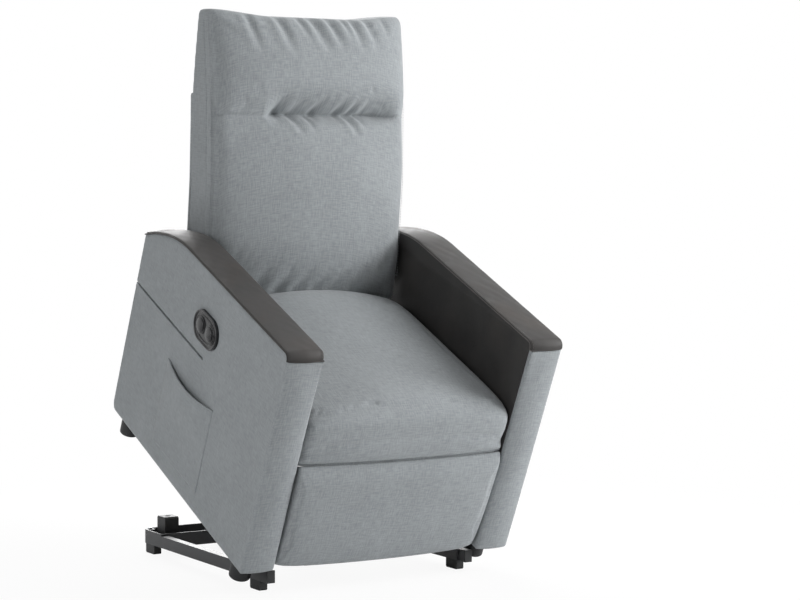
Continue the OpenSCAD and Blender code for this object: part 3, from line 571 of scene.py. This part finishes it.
seat = makeCushion(
    "seatCushionCover", seatPad, seatPlace, seatUnit,
    form=(seatPad["half"] - 1, 5, 22, seatStart, 0.03),
    held=lambda u, v: (v < -0.85) | (u > 0.93),
    hold=(4.8, 22),
    edge=(6, 26, lambda u, v: ramp(0.5, 0.85, -v) * ramp(0.85, 0.97, -u)),
)


# ---- footrest pad

restPad = {
    "half": 264.0, "top": 265.4, "topSlope": 0.62, "frontSide": 18.0, "crown": 10.0, "rear": 34.0, "low": 11.5,
    "tuckLow": 10.0, "tuckHigh": 6.5, "lift": 6.0, "voxel": 5.0, "cap": 16,
}


def padFront(s):
    return -restPad["frontSide"] - restPad["crown"] * (1 - falling(s))


def padTuck(rise):  # the front draws back towards the lower edge, and in a short roll under the seam
    low, high = (1 - np.clip(rise, 0, 1)) ** 2, np.clip((rise - 0.84) / 0.16, 0, 1) ** 2
    return restPad["tuckLow"] * low + restPad["tuckHigh"] * high


def padLow(y, s):  # the underside rises at the sides, and towards the rear where the base rails come up to it
    return -restPad["low"] + 3 * s ** 2 + 6 * s ** 12 + restPad["lift"] * ramp(-8, 7, y)


def padTop(y, s):  # slopes away behind the seat's own seam line, to leave it room as the footrest swings
    return restPad["top"] - restPad["topSlope"] * np.maximum(0, y - seatSeam(s))


def padPlace(u, v, s):
    front, rise = padFront(s), (v + 1) / 2
    y = front + (u + 1) / 2 * (restPad["rear"] - front) + padTuck(rise) * (1 - u)
    low = padLow(y, s)
    return y, low + rise * (padTop(y, s) - low)


def padUnit(c):
    s = station(c, restPad["half"])
    front, low = padFront(s), padLow(c[:, 1], s)
    rise = (c[:, 2] - low) / (padTop(c[:, 1], s) - low)
    q = padTuck(rise)
    half = (restPad["rear"] - front) / 2
    return (c[:, 1] - front - half - q) / (half - q), rise * 2 - 1, s


footPad = makeCushion(
    "footrestPadCover", restPad, padPlace, padUnit,
    form=(restPad["half"] - 0.5, 16, 5, lambda u, v, s: padPlace(0.97 * u, v, s), 0.012),
    held=lambda u, v: u > 0.8,
    hold=(16, 5.4, 0.0),
    edge=(22, 5.4, lambda u, v: ramp(0.6, 0.9, v) * ramp(0.2, 0.8, -u)),
)


# ---- back: one cover over the lumbar pillow, the headrest and the core
# Here y and z are along the back's own slope: z up it from the pivot, y behind it

backPad = {
    "half": 259.0, "seam": 466.0, "low": 30.0, "lowSides": 18.0, "top": 693.0, "ears": 12.0,
    "sideLow": -104.0, "sideSeam": -94.0, "middle": -154.0, "headMiddle": -138.0,
    "recede": 44.0, "brow": 20.0, "browFrom": 595.0, "corner": 18.0, "shrink": 6.0, "voxel": 5.2, "cap": 24,
}
# How far the middle of the lumbar pillow falls back at its top, its middle and its lower end
pillow = {"top": 26.0, "topFrom": 270.0, "waist": 8.0, "waistTo": 270.0, "tail": 42.0, "tailTo": 160.0}


def backTop(s):  # the top edge stands up into two ears at the corners
    return backPad["top"] + backPad["ears"] * ramp(0.4, 0.95, s) - 4 * np.clip((s - 0.97) / 0.03, 0, 1) ** 2


def backFront(z, s):
    p, w = backPad, pillow
    back = p["recede"] * (np.maximum(0, z - p["seam"]) / (704 - p["seam"])) ** 1.4
    back = back + p["brow"] * np.clip((z - p["browFrom"]) / 100, 0, 1) ** 2 * (1 - s ** 4)
    edge = p["sideLow"] + (p["sideSeam"] - p["sideLow"]) * ramp(300, 490, z)
    middle = p["middle"] + (p["headMiddle"] - p["middle"]) * ramp(p["seam"] - 60, p["seam"] + 60, z)
    fall = w["top"] * np.clip((z - w["topFrom"]) / 196, 0, 1) ** 2 * (1 - ramp(466, 520, z))
    fall = fall + w["waist"] * np.clip((w["waistTo"] - z) / 240, 0, 1) ** 2
    fall = fall + w["tail"] * np.clip((w["tailTo"] - z) / 130, 0, 1) ** 2
    turned = 1 - np.sqrt(1 - np.clip((s - 0.86) / 0.14, 0, 1) ** 2)
    boxy = 0.05 + 0.3 * ramp(440, 500, z)
    crown = 1 - (1 - boxy) * s ** 2 - boxy * s ** 6
    return back + edge + fall * (1 - 0.75 * s ** 4) + (middle - edge) * crown + p["corner"] * turned


def backRear(z):
    return np.interp(z, [60, 300, 440, 520, 600, 690], [30, 31, 37, 43, 39, 31])


def arc(y, z, ry, rz, start, end, count):
    return [(y + ry * math.cos(a), z + rz * math.sin(a)) for a in np.linspace(start, end, count)]


def backRing(s, count=150):  # up the rear, over the top, down the front and back under
    p = backPad
    z0, z1 = p["low"] - p["lowSides"] * s ** 3, backTop(s)
    off = 2 * max(0.0, (s - 0.97) / 0.03) ** 2
    rows = [(backRear(z) - off, z) for z in np.linspace(66, z1 - 22, 40)]
    rows += arc(rows[-1][0] - 14, z1 - 16, 14, 14, 0.1, math.pi / 2, 8)
    brow = backFront(z1 - 34, s) + p["shrink"]
    rows += arc(brow + 30, z1 - 34, 30, 34, math.pi / 2, math.pi, 10)
    rows += [(backFront(z, s) + p["shrink"], z) for z in np.linspace(z1 - 40, z0 + 30, 50)]
    chin = backFront(z0 + 30, s) + p["shrink"]
    rows += arc(chin + 24, z0 + 28, 24, 28, math.pi, 1.5 * math.pi, 8)
    rows += [(-64, z0), (-52, 58), (24, 60)]
    rows = np.array(rows + [rows[0]], float)
    run = np.concatenate([[0], np.cumsum(np.linalg.norm(np.diff(rows, axis=0), axis=1))])
    at = np.linspace(0, run[-1], count, endpoint=False)
    return np.interp(at, run, rows[:, 0]), np.interp(at, run, rows[:, 1])


folds = [
    # gathers that run down from the top edge of the headrest
    (-177, 690, -155, 617, 10, 7), (-101, 692, -72, 620, 11, 9), (-50, 694, -26, 650, 8, 5),
    (-15, 694, 22, 623, 11, 9), (32, 694, 63, 629, 10, 9), (70, 694, 92, 650, 7, 5),
    (96, 696, 120, 631, 10, 8), (139, 694, 164, 632, 10, 7), (190, 694, 204, 650, 9, 4),
    # gathers that rise from the seam
    (-107, 472, -86, 520, 11, 7), (-58, 472, -44, 504, 9, 4), (-8, 470, 19, 516, 11, 7),
    (60, 471, 82, 518, 11, 7), (98, 471, 112, 508, 9, 6), (133, 471, 146, 500, 9, 4),
    # gathers that hang from it
    (-68, 460, -46, 427, 8, 6), (-26, 460, -15, 433, 7, 5), (84, 462, 109, 419, 9, 7), (118, 464, 130, 443, 7, 5),
    # diagonal slack above the seat
    (-149, 58, -116, 118, 15, 5), (-92, 56, -52, 112, 13, 5), (-44, 55, 2, 112, 14, 5), (6, 56, 52, 108, 13, 5),
    (52, 56, 102, 106, 14, 5), (112, 60, 160, 118, 15, 4), (196, 99, 240, 182, 18, 6),
]
# The two seams of the side gusset, as z and y along them
gussets = {
    "A": [(60, -56), (312, -55.5), (494, -38), (600, -18), (690, -2)],
    "B": [(40, -82), (312, -82), (494, -64), (600, -46), (690, -26)],
}


def gussetLine(label, z):
    knots = np.array(gussets[label], float)
    return np.interp(z, knots[:, 0], knots[:, 1])


points, faces = loft(backPad["half"] - 0.5, backRing, 150, 61)
back = newPiece("backUpholstery", fromBack(points), faces, clothLight)
reskin(back, backPad["voxel"])
c = toBack(pointsOf(back))
sewn = (np.abs(c[:, 2] - backPad["seam"]) < 5) & (station(c, backPad["half"]) < 0.8)
stuff(back, (c[:, 1] > -40) | (c[:, 2] < 44) | sewn, backPad["cap"])
c = toBack(pointsOf(back))
s = station(c, backPad["half"])
c[:, 1] = np.where(c[:, 1] < -50, np.maximum(c[:, 1], backFront(c[:, 2], s)), c[:, 1])
c[:, 2] = np.minimum(c[:, 2], backTop(s) + 1)
c[:, 0] = np.clip(c[:, 0], -backPad["half"], backPad["half"])
setPoints(back, fromBack(c))
refine(back)

# the seam between the two pillows is drawn in deeply at the middle and runs out at the sides
drawn = {"deep": 40.0, "above": 84, "below": 28, "foldShare": 0.8, "groove": 1.8}
c = toBack(pointsOf(back))
n = (toBack(normalsOf(back)) - toBack(np.zeros((1, 3)))) / 1000
facing = np.clip(-n[:, 1] * 1.4, 0, 1)
off = c[:, 2] - backPad["seam"]
deep = ramp(-146, -98, c[:, 0]) * (1 - ramp(150, 240, c[:, 0]))
near = np.clip(1 - np.abs(off) / np.where(off > 0, drawn["above"], drawn["below"]), 0, 1)
valley = drawn["deep"] * deep * near ** np.where(off > 0, 1.7, 2.4) + 3.5 * np.exp(-(off / 4.0) ** 2)
flanks = np.clip(np.abs(n[:, 0]) * 1.4, 0, 1) * ramp(50, 80, c[:, 2]) * (c[:, 2] < backTop(0.9) - 12)
grooves = sum(np.exp(-((c[:, 1] - gussetLine(label, c[:, 2])) / 3.2) ** 2) for label in gussets)
c += n * pressFolds(c, facing, folds)[:, None] * drawn["foldShare"]
c[:, 1] += valley * facing
c[:, 0] -= np.sign(c[:, 0]) * drawn["groove"] * grooves * flanks
setPoints(back, fromBack(c))
print("back made with", len(back.data.polygons), "faces")


# ---- rear panel: a skin over the frame's own form

mesh = nodes["rear_panel"].data
points, faces = [tuple(v.co) for v in mesh.vertices], [tuple(p.vertices) for p in mesh.polygons]
rearPanel = newPiece("rearPanelCover", points, faces, clothShadedSide)
rearPanel.modifiers.new("join", "WELD").merge_threshold = 0.00002
reskin(rearPanel, 3.5, 3)


# ---- arms: cloth bodies, leather tops and linings

arm = {
    "inner": 267.0, "wide": 86.5, "depth": 734.0, "height": 549.5, "level": 495.0, "drop": 10, "dropR": 472.0,
    "noseR": 18.0, "bulge": 9.0, "swell": 6.0, "hump": 6.5, "band": 4.0, "clothTop": 531.0, "liningLow": 205.0,
    "crown": 5.0, "voxel": 4.6,
}


def armPath(step=9.0):  # outline of the arm top from the front seam over the nose to the rear end: y, z, normal
    a = arm
    centre = (-a["bulge"] + a["noseR"], a["height"] - a["noseR"])
    rows = [(-a["bulge"], a["clothTop"] - 0.8 + up, -1.0, 0.0) for up in (0.0, 0.3, 0.9)]
    for angle in np.linspace(176, 91, 13):
        r = math.radians(angle)
        ny, nz = math.cos(r), math.sin(r)
        rows.append((centre[0] + a["noseR"] * ny, centre[1] + a["noseR"] * nz, ny, nz))
    for y in np.arange(centre[0] + step, a["level"], step):
        z = a["height"] - a["drop"] * (y - centre[0]) / (a["level"] - centre[0])
        rows.append((y, z, 0.02, 1.0))
    turn = math.asin((a["depth"] - a["level"]) / a["dropR"])
    for angle in np.linspace(0, turn, int(a["dropR"] * turn / step)):
        ny, nz = math.sin(angle), math.cos(angle)
        rows.append((a["level"] + a["dropR"] * ny, a["height"] - a["drop"] - a["dropR"] * (1 - nz), ny, nz))
    rows = np.array(rows)
    ahead, behind = np.clip(rows[:, 0] / a["level"], 0, 1), ramp(a["level"] + 20, a["depth"], rows[:, 0])
    rows[:, 1] += a["hump"] * ahead * (1 - behind)
    return rows


path = armPath()


def noseShift(y, x, z):  # the front face bulges between its two corners, and over its height
    across = np.clip((x - arm["inner"]) / arm["wide"] * 2 - 1, -1, 1)
    ahead = np.clip((26 - y) / 33, 0, 1) ** 1.3
    swell = np.sin(np.pi * np.clip(z / 545, 0, 1)) ** 0.6
    roll = 7 * np.clip(-across, 0, 1) ** 3 * np.where(z < 531, np.exp(-(531 - z) / 90), 0)
    corners = arm["bulge"] * (0.45 + 0.55 * swell) * across ** 2 * np.where(across < 0, 1.35, 1.0)
    return (corners - arm["swell"] * swell - 1.5 - roll) * ahead


def clothBody(name, side):
    a = arm
    under = [(y - ny * a["band"], z - nz * a["band"]) for y, z, ny, nz in path[6:]]
    front, rear = -a["bulge"], a["depth"]
    outline = [(front, 2), (front + 2, 0), (rear - 16, 0), (rear - 5, 5), (rear, 16), (rear, under[-1][1])]
    outline += [p for p in reversed(under) if p[0] < rear - 2]
    outline += [(6, a["clothTop"] - 2), (front, a["clothTop"] - 1)]
    points, faces = slab(outline, a["inner"], a["inner"] + a["wide"])
    piece = newPiece(name + "ArmCloth", fromChair(points), faces, clothShadedSide)
    reskin(piece, a["voxel"], 1)
    c = toChair(pointsOf(piece))
    c[:, 1] += noseShift(c[:, 1], c[:, 0], c[:, 2])
    # the outer face is lightly padded, and the inner one makes room for the lining
    outer = np.clip((c[:, 0] - (a["inner"] + a["wide"]) + 12) / 12, 0, 1)
    lengthwise = np.sin(np.pi * np.clip(c[:, 1] / a["depth"], 0, 1)) ** 0.5
    c[:, 0] += 1.2 * outer * (lengthwise * np.sin(np.pi * np.clip(c[:, 2] / 520, 0, 1)) ** 0.5)
    lined = (c[:, 0] < a["inner"] + 6) & (c[:, 2] > a["liningLow"] - 2)
    c[:, 0] = np.where(lined, np.maximum(c[:, 0], a["inner"] + 2.2), c[:, 0])
    c[:, 0] *= side
    if side < 0:
        piece.data.flip_normals()
    setPoints(piece, fromChair(c))
    return piece


def leatherRing():  # across the arm: lip on the inner side, crowned top, rolled outer edge, flat underside
    w, crown = arm["wide"], arm["crown"]
    ring = [(2.9, -arm["band"]), (2.9, -3.8), (0.6, -3.6), (-0.2, -2.2), (0.5, -0.6)]
    for t in np.linspace(0.03, 0.97, 23):
        ring.append((t * w, crown * (1 - abs(2 * t - 1) ** 2.4)))
    ring += [(w, -0.8), (w + 0.1, -2.2), (w - 0.2, -3.4), (w - 3, -arm["band"])]
    ring += [(w * t, -arm["band"]) for t in (0.8, 0.6, 0.4, 0.2)]
    return ring


def leatherTopPiece(name, side):
    ring = leatherRing()
    count = len(ring)
    rng = np.random.default_rng(11 if side > 0 else 23)
    waves = []
    for _ in range(7):
        waves.append((rng.uniform(40, 110), rng.uniform(0, 6.28), rng.uniform(20, 60), rng.uniform(0, 6.28)))

    def wave(y, x):
        return sum(math.sin(y / l * 6.28 + p) * math.sin(x / m * 6.28 + q) for l, p, m, q in waves) * 0.16

    points = []
    for i, (y, z, ny, nz) in enumerate(path):
        end = float(ramp(3, 22, i))
        for across, high in ring:
            rise = high if high < 0 else high * end
            if high > 0:
                rise += wave(y, across) * end
            px, py, pz = arm["inner"] + across, y + ny * rise, z + nz * rise
            points.append((px * side, py + noseShift(np.array(py), np.array(px), pz), pz))
    faces = bands(len(path), count, side > 0)
    first, last = tuple(range(count)), tuple(range((len(path) - 1) * count, len(path) * count))
    faces += [first, tuple(reversed(last))] if side > 0 else [tuple(reversed(first)), last]
    return refine(newPiece(name + "ArmLeather", fromChair(np.array(points)), faces, leatherTop), 2)


def liningPiece(name, side):
    a = arm
    top = [(y - ny * 3.2, z - nz * 3.2) for y, z, ny, nz in path if y < a["depth"] - 8]
    top = [(max(1.5, y), z) for y, z in top if z > a["clothTop"] - 6 or y > 60]
    rear = a["depth"] - 10
    outline = [(1.5, a["liningLow"]), (rear, a["liningLow"]), (rear, top[-1][1])]
    points, faces = slab(outline + list(reversed(top)), a["inner"] - 0.2, a["inner"] + 2.8)
    points, faces = mirrored(points, faces, side)
    piece = newPiece(name + "ArmLining", fromChair(points), faces, leatherInner)
    return bevelled(piece, 0.0007, 2, 50, 35)


armCloth, armLeather, armLining = {}, {}, {}
for name, side in sides:
    armCloth[name] = clothBody(name, side)
    armLeather[name] = leatherTopPiece(name, side)
    armLining[name] = liningPiece(name, side)
print("arms made")


# ---- rear shell of the back, and the dust cloth behind the joint of seat and footrest

shell = {"half": 258.0, "from": 30.0, "low": 50.0, "top": 505.0}
outline = [(shell["from"], shell["low"]), (38, shell["low"]), (37, 300), (45, 441), (50, shell["top"] - 6)]
outline += [(47, shell["top"]), (shell["from"], shell["top"])]
points, faces = slab(outline, -shell["half"], shell["half"])
backShell = bevelled(newPiece("backShellCover", fromBack(points), faces, clothLight), 0.0025)
dust = {"front": 39.2, "rear": 40.8, "low": 246, "top": 265.7, "half": 266}
outline = [(dust["front"], dust["low"]), (dust["rear"], dust["low"])]
outline += [(dust["rear"], dust["top"]), (dust["front"], dust["top"])]
points, faces = slab(outline, -dust["half"], dust["half"])
# The dust cloth is near black and closes the gap between seat and footrest pad: a real cloth, and painted shade where
# that gap shows dark
apron = newPiece("seatDustClothAndShade", fromChair(points), faces, paintedShadeBlack)


# ---- seams and stitches by Geometry Nodes

def seamTree(kind):  # "cord" sweeps a round cord, "stitch" sets short threads end to end
    tree = bpy.data.node_groups.new(kind + "Seam", "GeometryNodeTree")
    tree.interface.new_socket("Line", in_out="INPUT", socket_type="NodeSocketGeometry")
    for label in ("Radius", "Pitch", "Length"):
        tree.interface.new_socket(label, in_out="INPUT", socket_type="NodeSocketFloat")
    tree.interface.new_socket("Finish", in_out="INPUT", socket_type="NodeSocketMaterial")
    tree.interface.new_socket("Seam", in_out="OUTPUT", socket_type="NodeSocketGeometry")
    given = addNode(tree, "NodeGroupInput").outputs
    if kind == "cord":
        circle = {"Resolution": 8, "Radius": given["Radius"]}
        ring = addNode(tree, "GeometryNodeCurvePrimitiveCircle", circle).outputs["Curve"]
        swept = {"Curve": given["Line"], "Profile Curve": ring, "Fill Caps": True}
        made = addNode(tree, "GeometryNodeCurveToMesh", swept).outputs[0]
    else:
        spaced = {"Curve": given["Line"], "Length": given["Pitch"]}
        spots = addNode(tree, "GeometryNodeCurveToPoints", spaced, mode="LENGTH").outputs
        lie = addNode(tree, "FunctionNodeAlignRotationToVector", {"Vector": spots["Tangent"]}, axis="Z").outputs[0]
        rod = {"Vertices": 6, "Radius": given["Radius"], "Depth": given["Length"]}
        thread = addNode(tree, "GeometryNodeMeshCylinder", rod).outputs["Mesh"]
        laid = {"Points": spots["Points"], "Instance": thread, "Rotation": lie}
        made = addNode(tree, "GeometryNodeInstanceOnPoints", laid).outputs[0]
    real = addNode(tree, "GeometryNodeRealizeInstances", {"Geometry": made}).outputs[0]
    done = addNode(tree, "GeometryNodeSetMaterial", {"Geometry": real, "Material": given["Finish"]}).outputs[0]
    addNode(tree, "NodeGroupOutput", {"Seam": done})
    return tree


seamTrees = {kind: seamTree(kind) for kind in ("cord", "stitch")}


def runSeam(name, kind, points, material, radius, pitch=0.006, length=0.004):  # all lengths in metres
    curve = bpy.data.curves.new(name + "Line", "CURVE")
    curve.dimensions = "3D"
    spline = curve.splines.new("POLY")
    spline.points.add(len(points) - 1)
    for spot, p in zip(spline.points, points):
        spot.co = (*p, 1)
    line = bpy.data.objects.new(name + "Line", curve)
    scene.collection.objects.link(line)
    sew = line.modifiers.new("sew", "NODES")
    sew.node_group = seamTrees[kind]
    values = {"Radius": radius, "Pitch": pitch, "Length": length, "Finish": material}
    for item in sew.node_group.interface.items_tree:
        if item.in_out == "INPUT" and item.name in values:
            sew[item.identifier] = values[item.name]
    line.update_tag()
    mesh = solvedMesh(line)
    bpy.data.objects.remove(line)
    mesh.name = name
    piece = bpy.data.objects.new(name, mesh)
    scene.collection.objects.link(piece)
    mesh.shade_smooth()
    return piece


def alongArm(x, drop):  # points in metres along the arm top's outline at a given station across
    rows = []
    for y, z, ny, nz in path[1:]:
        py, pz = y - ny * drop, z - nz * drop
        rows.append((x, py + float(noseShift(np.array(py), np.array(abs(x)), pz)), pz))
    return fromChair(np.array(rows))


seams = []
for name, side in sides:
    inner, outer = arm["inner"], arm["inner"] + arm["wide"]
    for label, kind, x, drop, material, radius in (
        ("OuterPiping", "cord", outer + 0.2, 4.2, pipingLeather, 0.0017),
        ("InnerWelt", "cord", inner - 0.4, 3.4, seamLeather, 0.0011),
        ("InnerStitch", "stitch", inner + 5, -0.9, seamLeather, 0.0005),
    ):
        seam = runSeam(name + label, kind, alongArm(side * x, drop), material, radius, 0.006, 0.0042)
        seams.append((seam, "chair", "leather"))
    z = np.linspace(80, 676, 90)
    x = np.full(90, side * (backPad["half"] - 1.2))
    for label in gussets:
        for row, shift in (("Front", -3.6), ("Rear", 3.6)):
            line = fromBack(np.stack([x, gussetLine(label, z) + shift, z], 1))
            seam = runSeam(name + "Gusset" + label + row, "stitch", line, clothLight, 0.0006, 0.0065, 0.0045)
            seams.append((seam, "back", "cloth"))
x = np.linspace(-266, 266, 80)
line = np.stack([x, seatSeam(station(x[:, None], seatPad["half"])) + 4.0, np.full(80, seatPad["base"] - 0.3)], 1)
seams.append((runSeam("seatWelt", "cord", fromChair(line), clothLight, 0.0027), "chair", "cloth"))
print("seams sewn", len(seams))


# ---- side pocket: a cloth patch whose mouth sags open

pocket = {
    "front": 252.0, "long": 246.0, "low": 50.0, "rim": 252.0, "mouthR": 600, "mouthHalf": 120, "stand": 15.0,
    "face": 353.5, "cloth": 2.0,
}


def pocketPiece():
    p = pocket
    columns, rows = 61, 51
    q = np.linspace(0, 1, columns)
    middle = p["front"] + p["long"] / 2
    y = p["front"] + q * p["long"]
    top = p["rim"] + p["mouthR"] - np.sqrt(p["mouthR"] ** 2 - np.minimum((y - middle) ** 2, p["mouthHalf"] ** 2))
    grid = []
    for r in np.linspace(0, 1, rows):
        z = p["low"] + r * (top - p["low"])
        gape = (1 - np.abs(2 * q - 1) ** 2.2) * r ** 1.5
        ripple = 0.7 * np.sin(q * 31) * r ** 1.5 * (1 - np.abs(2 * q - 1) ** 4) + 0.4 * np.sin(q * 17 + r * 5) * r
        out = 1.4 + (p["stand"] - p["cloth"] - 1.4) * gape + ripple * 0.6
        grid.append(np.stack([-(p["face"] + out), y, z], 1))
    faces = []
    for i in range(rows - 1):
        for j in range(columns - 1):
            a, b = i * columns + j, (i + 1) * columns + j
            faces.append((a, b, b + 1, a + 1))
    piece = newPiece("sidePocketCloth", fromChair(np.concatenate(grid)), faces, clothShadedSide)
    wall = piece.modifiers.new("cloth", "SOLIDIFY")
    wall.thickness, wall.offset = p["cloth"] / 1000, 0
    settle(piece)
    rim = p["face"] + 0.6 + (p["stand"] - p["cloth"] - 0.6) * (1 - np.abs(2 * q - 1) ** 2.2)
    return piece, runSeam("pocketHem", "cord", fromChair(np.stack([-rim, y, top], 1)), clothShadedSide, 0.0021)


pocketCloth, pocketHem = pocketPiece()
print("pocket made")


# ---- hand control: rounded rim, raised oval round the buttons, and domed caps

control = {
    "y": 350.0, "z": 419.0, "long": 116.0, "wide": 74.0, "face": 360.5, "gap": 46.0, "button": 16.4, "stand": 3.5,
    "dome": 3.4, "ovalLong": 47, "ovalWide": 27, "squareness": 0.85, "inset": 2.0,
}


def onControl(rows):  # outline round the control's middle to points in metres on its face
    return fromChair(np.array([(-control["face"], control["y"] + a, control["z"] + b) for a, b in rows]))


def ovalLine(count=72):
    k = control["squareness"]
    rows = []
    for t in np.linspace(0, 2 * np.pi, count + 1):
        q, r = math.cos(t), math.sin(t)
        long, wide = math.copysign(abs(q) ** k, q), math.copysign(abs(r) ** k, r)
        rows.append((control["ovalLong"] * long, control["ovalWide"] * wide))
    return onControl(rows)


def stadiumLine(count=24):
    r, run = control["wide"] / 2 - control["inset"], (control["long"] - control["wide"]) / 2
    rows = [(run + r * math.sin(t), r * math.cos(t)) for t in np.linspace(0, np.pi, count)]
    rows += [(-run - r * math.sin(t), -r * math.cos(t)) for t in np.linspace(0, np.pi, count)]
    return onControl(rows + rows[:1])


def domeCap(name, at, rings=9, count=40):
    base, radius = control["face"] + control["stand"] - 0.4, control["button"]
    points = []
    for i in range(rings):
        t = math.pi / 2 * i / rings
        x, r = -(base + control["dome"] * math.sin(t)), radius * math.cos(t)
        for j in range(count):
            q = 2 * math.pi * j / count
            points.append((x, at + r * math.cos(q), control["z"] + r * math.sin(q)))
    points.append((-(base + control["dome"]), at, control["z"]))
    last = (rings - 1) * count
    faces = bands(rings, count, True) + [(last + j, rings * count, last + (j + 1) % count) for j in range(count)]
    faces.append(tuple(range(count)))
    return newPiece(name, fromChair(np.array(points)), faces, glossBlack)


controlRim = runSeam("controlRim", "cord", stadiumLine(), glossBlack, 0.0024)
controlOval = runSeam("controlOval", "cord", ovalLine(), glossBlack, 0.0019)
domeUp = domeCap("buttonUpDome", control["y"] - control["gap"] / 2)
domeDown = domeCap("buttonDownDome", control["y"] + control["gap"] / 2)


# ---- slit seam along the outer panels, and the relief where they come down over the rear channel's ends

slit = {"z": 347.0, "from": 344.0, "tall": 6.5, "deep": 9.0, "past": 760.0}
overChannel = {"from": 537.0, "top": 7.0, "wide": 10.0}


def cutAway(piece, side, y0, z0, z1, x0, x1):  # cuts a box that runs out of the rear end of an arm
    points, faces = slab([(y0, z0), (slit["past"], z0), (slit["past"], z1), (y0, z1)], x0, x1)
    points, faces = mirrored(points, faces, side)
    # The blade is near black: painted shade meant for the slit's cut faces
    blade = newPiece("blade", fromChair(points), faces, paintedShadeBlack)
    cut = piece.modifiers.new("cut", "BOOLEAN")
    cut.object, cut.operation, cut.solver = blade, "DIFFERENCE", "MANIFOLD"
    settle(piece)
    bpy.data.objects.remove(blade)


for name, side in sides:
    inner, outer = arm["inner"], arm["inner"] + arm["wide"]
    z, half = slit["z"], slit["tall"] / 2
    cutAway(armCloth[name], side, slit["from"], z - half, z + half, outer - slit["deep"], outer + 10)
    cutAway(armCloth[name], side, overChannel["from"], -5.0, overChannel["top"], inner - 5, inner + overChannel["wide"])
    armCloth[name].data.set_sharp_from_angle(angle=math.radians(50))
print("slits cut")


# ---- what rides on what

keepClear(back, seat, 0.8)
for piece, body, slotName, replaced, toLocal in (
    (seat, "chair", "cloth", ["seat_cushion"], toChair),
    (footPad, "footrest", "cloth", ["footrest_pad"], toChair),
    (back, "back", "cloth", ["lumbar_cushion", "headrest", "back_frame"], toBack),
    (backShell, "back", "cloth", ["back_shell"], toBack),
    (apron, "chair", "cloth_dark", [], toChair),
    (rearPanel, "chair", "cloth_dark", ["rear_panel"], toChair),
    (armCloth["left"], "chair", "cloth_dark", ["left_panel"], toChair),
    (armCloth["right"], "chair", "cloth_dark", ["right_panel"], toChair),
    (armLeather["left"], "chair", "leather", ["left_arm_top"], None),
    (armLeather["right"], "chair", "leather", ["right_arm_top"], None),
    (armLining["left"], "chair", "leather_dark", ["arm_linings"], None),
    (armLining["right"], "chair", "leather_dark", ["arm_linings"], None),
    (pocketCloth, "chair", "cloth_dark", ["side_pocket"], toChair),
    (pocketHem, "chair", "cloth_dark", [], toChair),
):
    if toLocal:
        layWeave(piece, toLocal)
    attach(piece, body)
    if replaced:
        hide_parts(*replaced)
controls = [(controlRim, "chair", "plastic"), (controlOval, "chair", "plastic")]
controls += [(domeUp, "button_up", "steel"), (domeDown, "button_down", "steel")]
for piece, body, slotName in seams + controls:
    if slotName == "cloth":
        layWeave(piece, toBack)
    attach(piece, body)

finishes = (
    (satinSteel, "base_rails rear_channel base_brackets actuator_anchor lift_arms torque_tube lever_plates"),
    (satinSteel, "front_links lift_motor cheek_plates cross_tubes mech_plates hinge_plates back_brackets"),
    (satinSteel, "footrest_arms footrest_tube footrest_links footrest_followers footrest_struts footrest_brackets"),
    (mouldedBlack, "rail_plugs foot_blocks rest_blocks actuator_body chair_feet power_inlet"),
    (zinc, "base_pins base_bolts lever_pin actuator_rod chair_pins mech_pins seat_springs hinge_pins"),
    (zinc, "arm_rivets strut_rivets bracket_rivets"),
    (plywood, "seat_rails rest_beam footrest_board"),
    (glossBlack, "control_bezel button_up button_down"),
)
for material, names in finishes:
    for name in names.split():
        for holder in nodes[name].material_slots:
            holder.material = material
print("finishes set")


# ---- floor and backdrop

ground = {"half": 4.0, "shadowR": 0.95, "fadeR": 1.7, "clear": 0.92}  # metres
h = ground["half"]
floor = newPiece("studioFloor", [(-h, -h, 0), (h, -h, 0), (h, h, 0), (-h, h, 0)], [(0, 1, 2, 3)], None)
material, tree = newMaterial("paleFloor")
reach = addNode(tree, "ShaderNodeVectorMath", {0: placeOn(tree)}, operation="LENGTH").outputs["Value"]
fade = fit(tree, reach, ground["clear"], 1.0, ground["shadowR"], ground["fadeR"], "SMOOTHSTEP")
rays = addNode(tree, "ShaderNodeLightPath").outputs
seen = maths(tree, "MULTIPLY", rays["Is Camera Ray"], fade)
matt = addNode(tree, "ShaderNodeBsdfDiffuse", {"Color": linear("#f4f4f4")}).outputs[0]
glow = addNode(tree, "ShaderNodeEmission", {"Color": (1, 1, 1, 1), "Strength": 1.0}).outputs[0]
mixed = addNode(tree, "ShaderNodeMixShader", {0: seen, 1: matt, 2: glow}).outputs[0]
addNode(tree, "ShaderNodeOutputMaterial", {"Surface": mixed})
floor.data.materials.clear()
floor.data.materials.append(material)

# Eye, mirror and glass see plain white; the rest of the light from around is faint
world = bpy.data.worlds.new("studioAir")
scene.world = world
world.use_nodes = True
tree = world.node_tree
tree.nodes.clear()
rays = addNode(tree, "ShaderNodeLightPath").outputs
straight = maths(tree, "MAXIMUM", rays["Is Camera Ray"], rays["Is Glossy Ray"])
straight = maths(tree, "MAXIMUM", straight, rays["Is Transmission Ray"])
air = addNode(tree, "ShaderNodeBackground", {"Color": (1, 1, 1, 1), "Strength": 0.03}).outputs[0]
plain = addNode(tree, "ShaderNodeBackground", {"Color": (1, 1, 1, 1), "Strength": 1.0}).outputs[0]
mixed = addNode(tree, "ShaderNodeMixShader", {0: straight, 1: air, 2: plain}).outputs[0]
addNode(tree, "ShaderNodeOutputWorld", {"Surface": mixed})

print("scene ready")
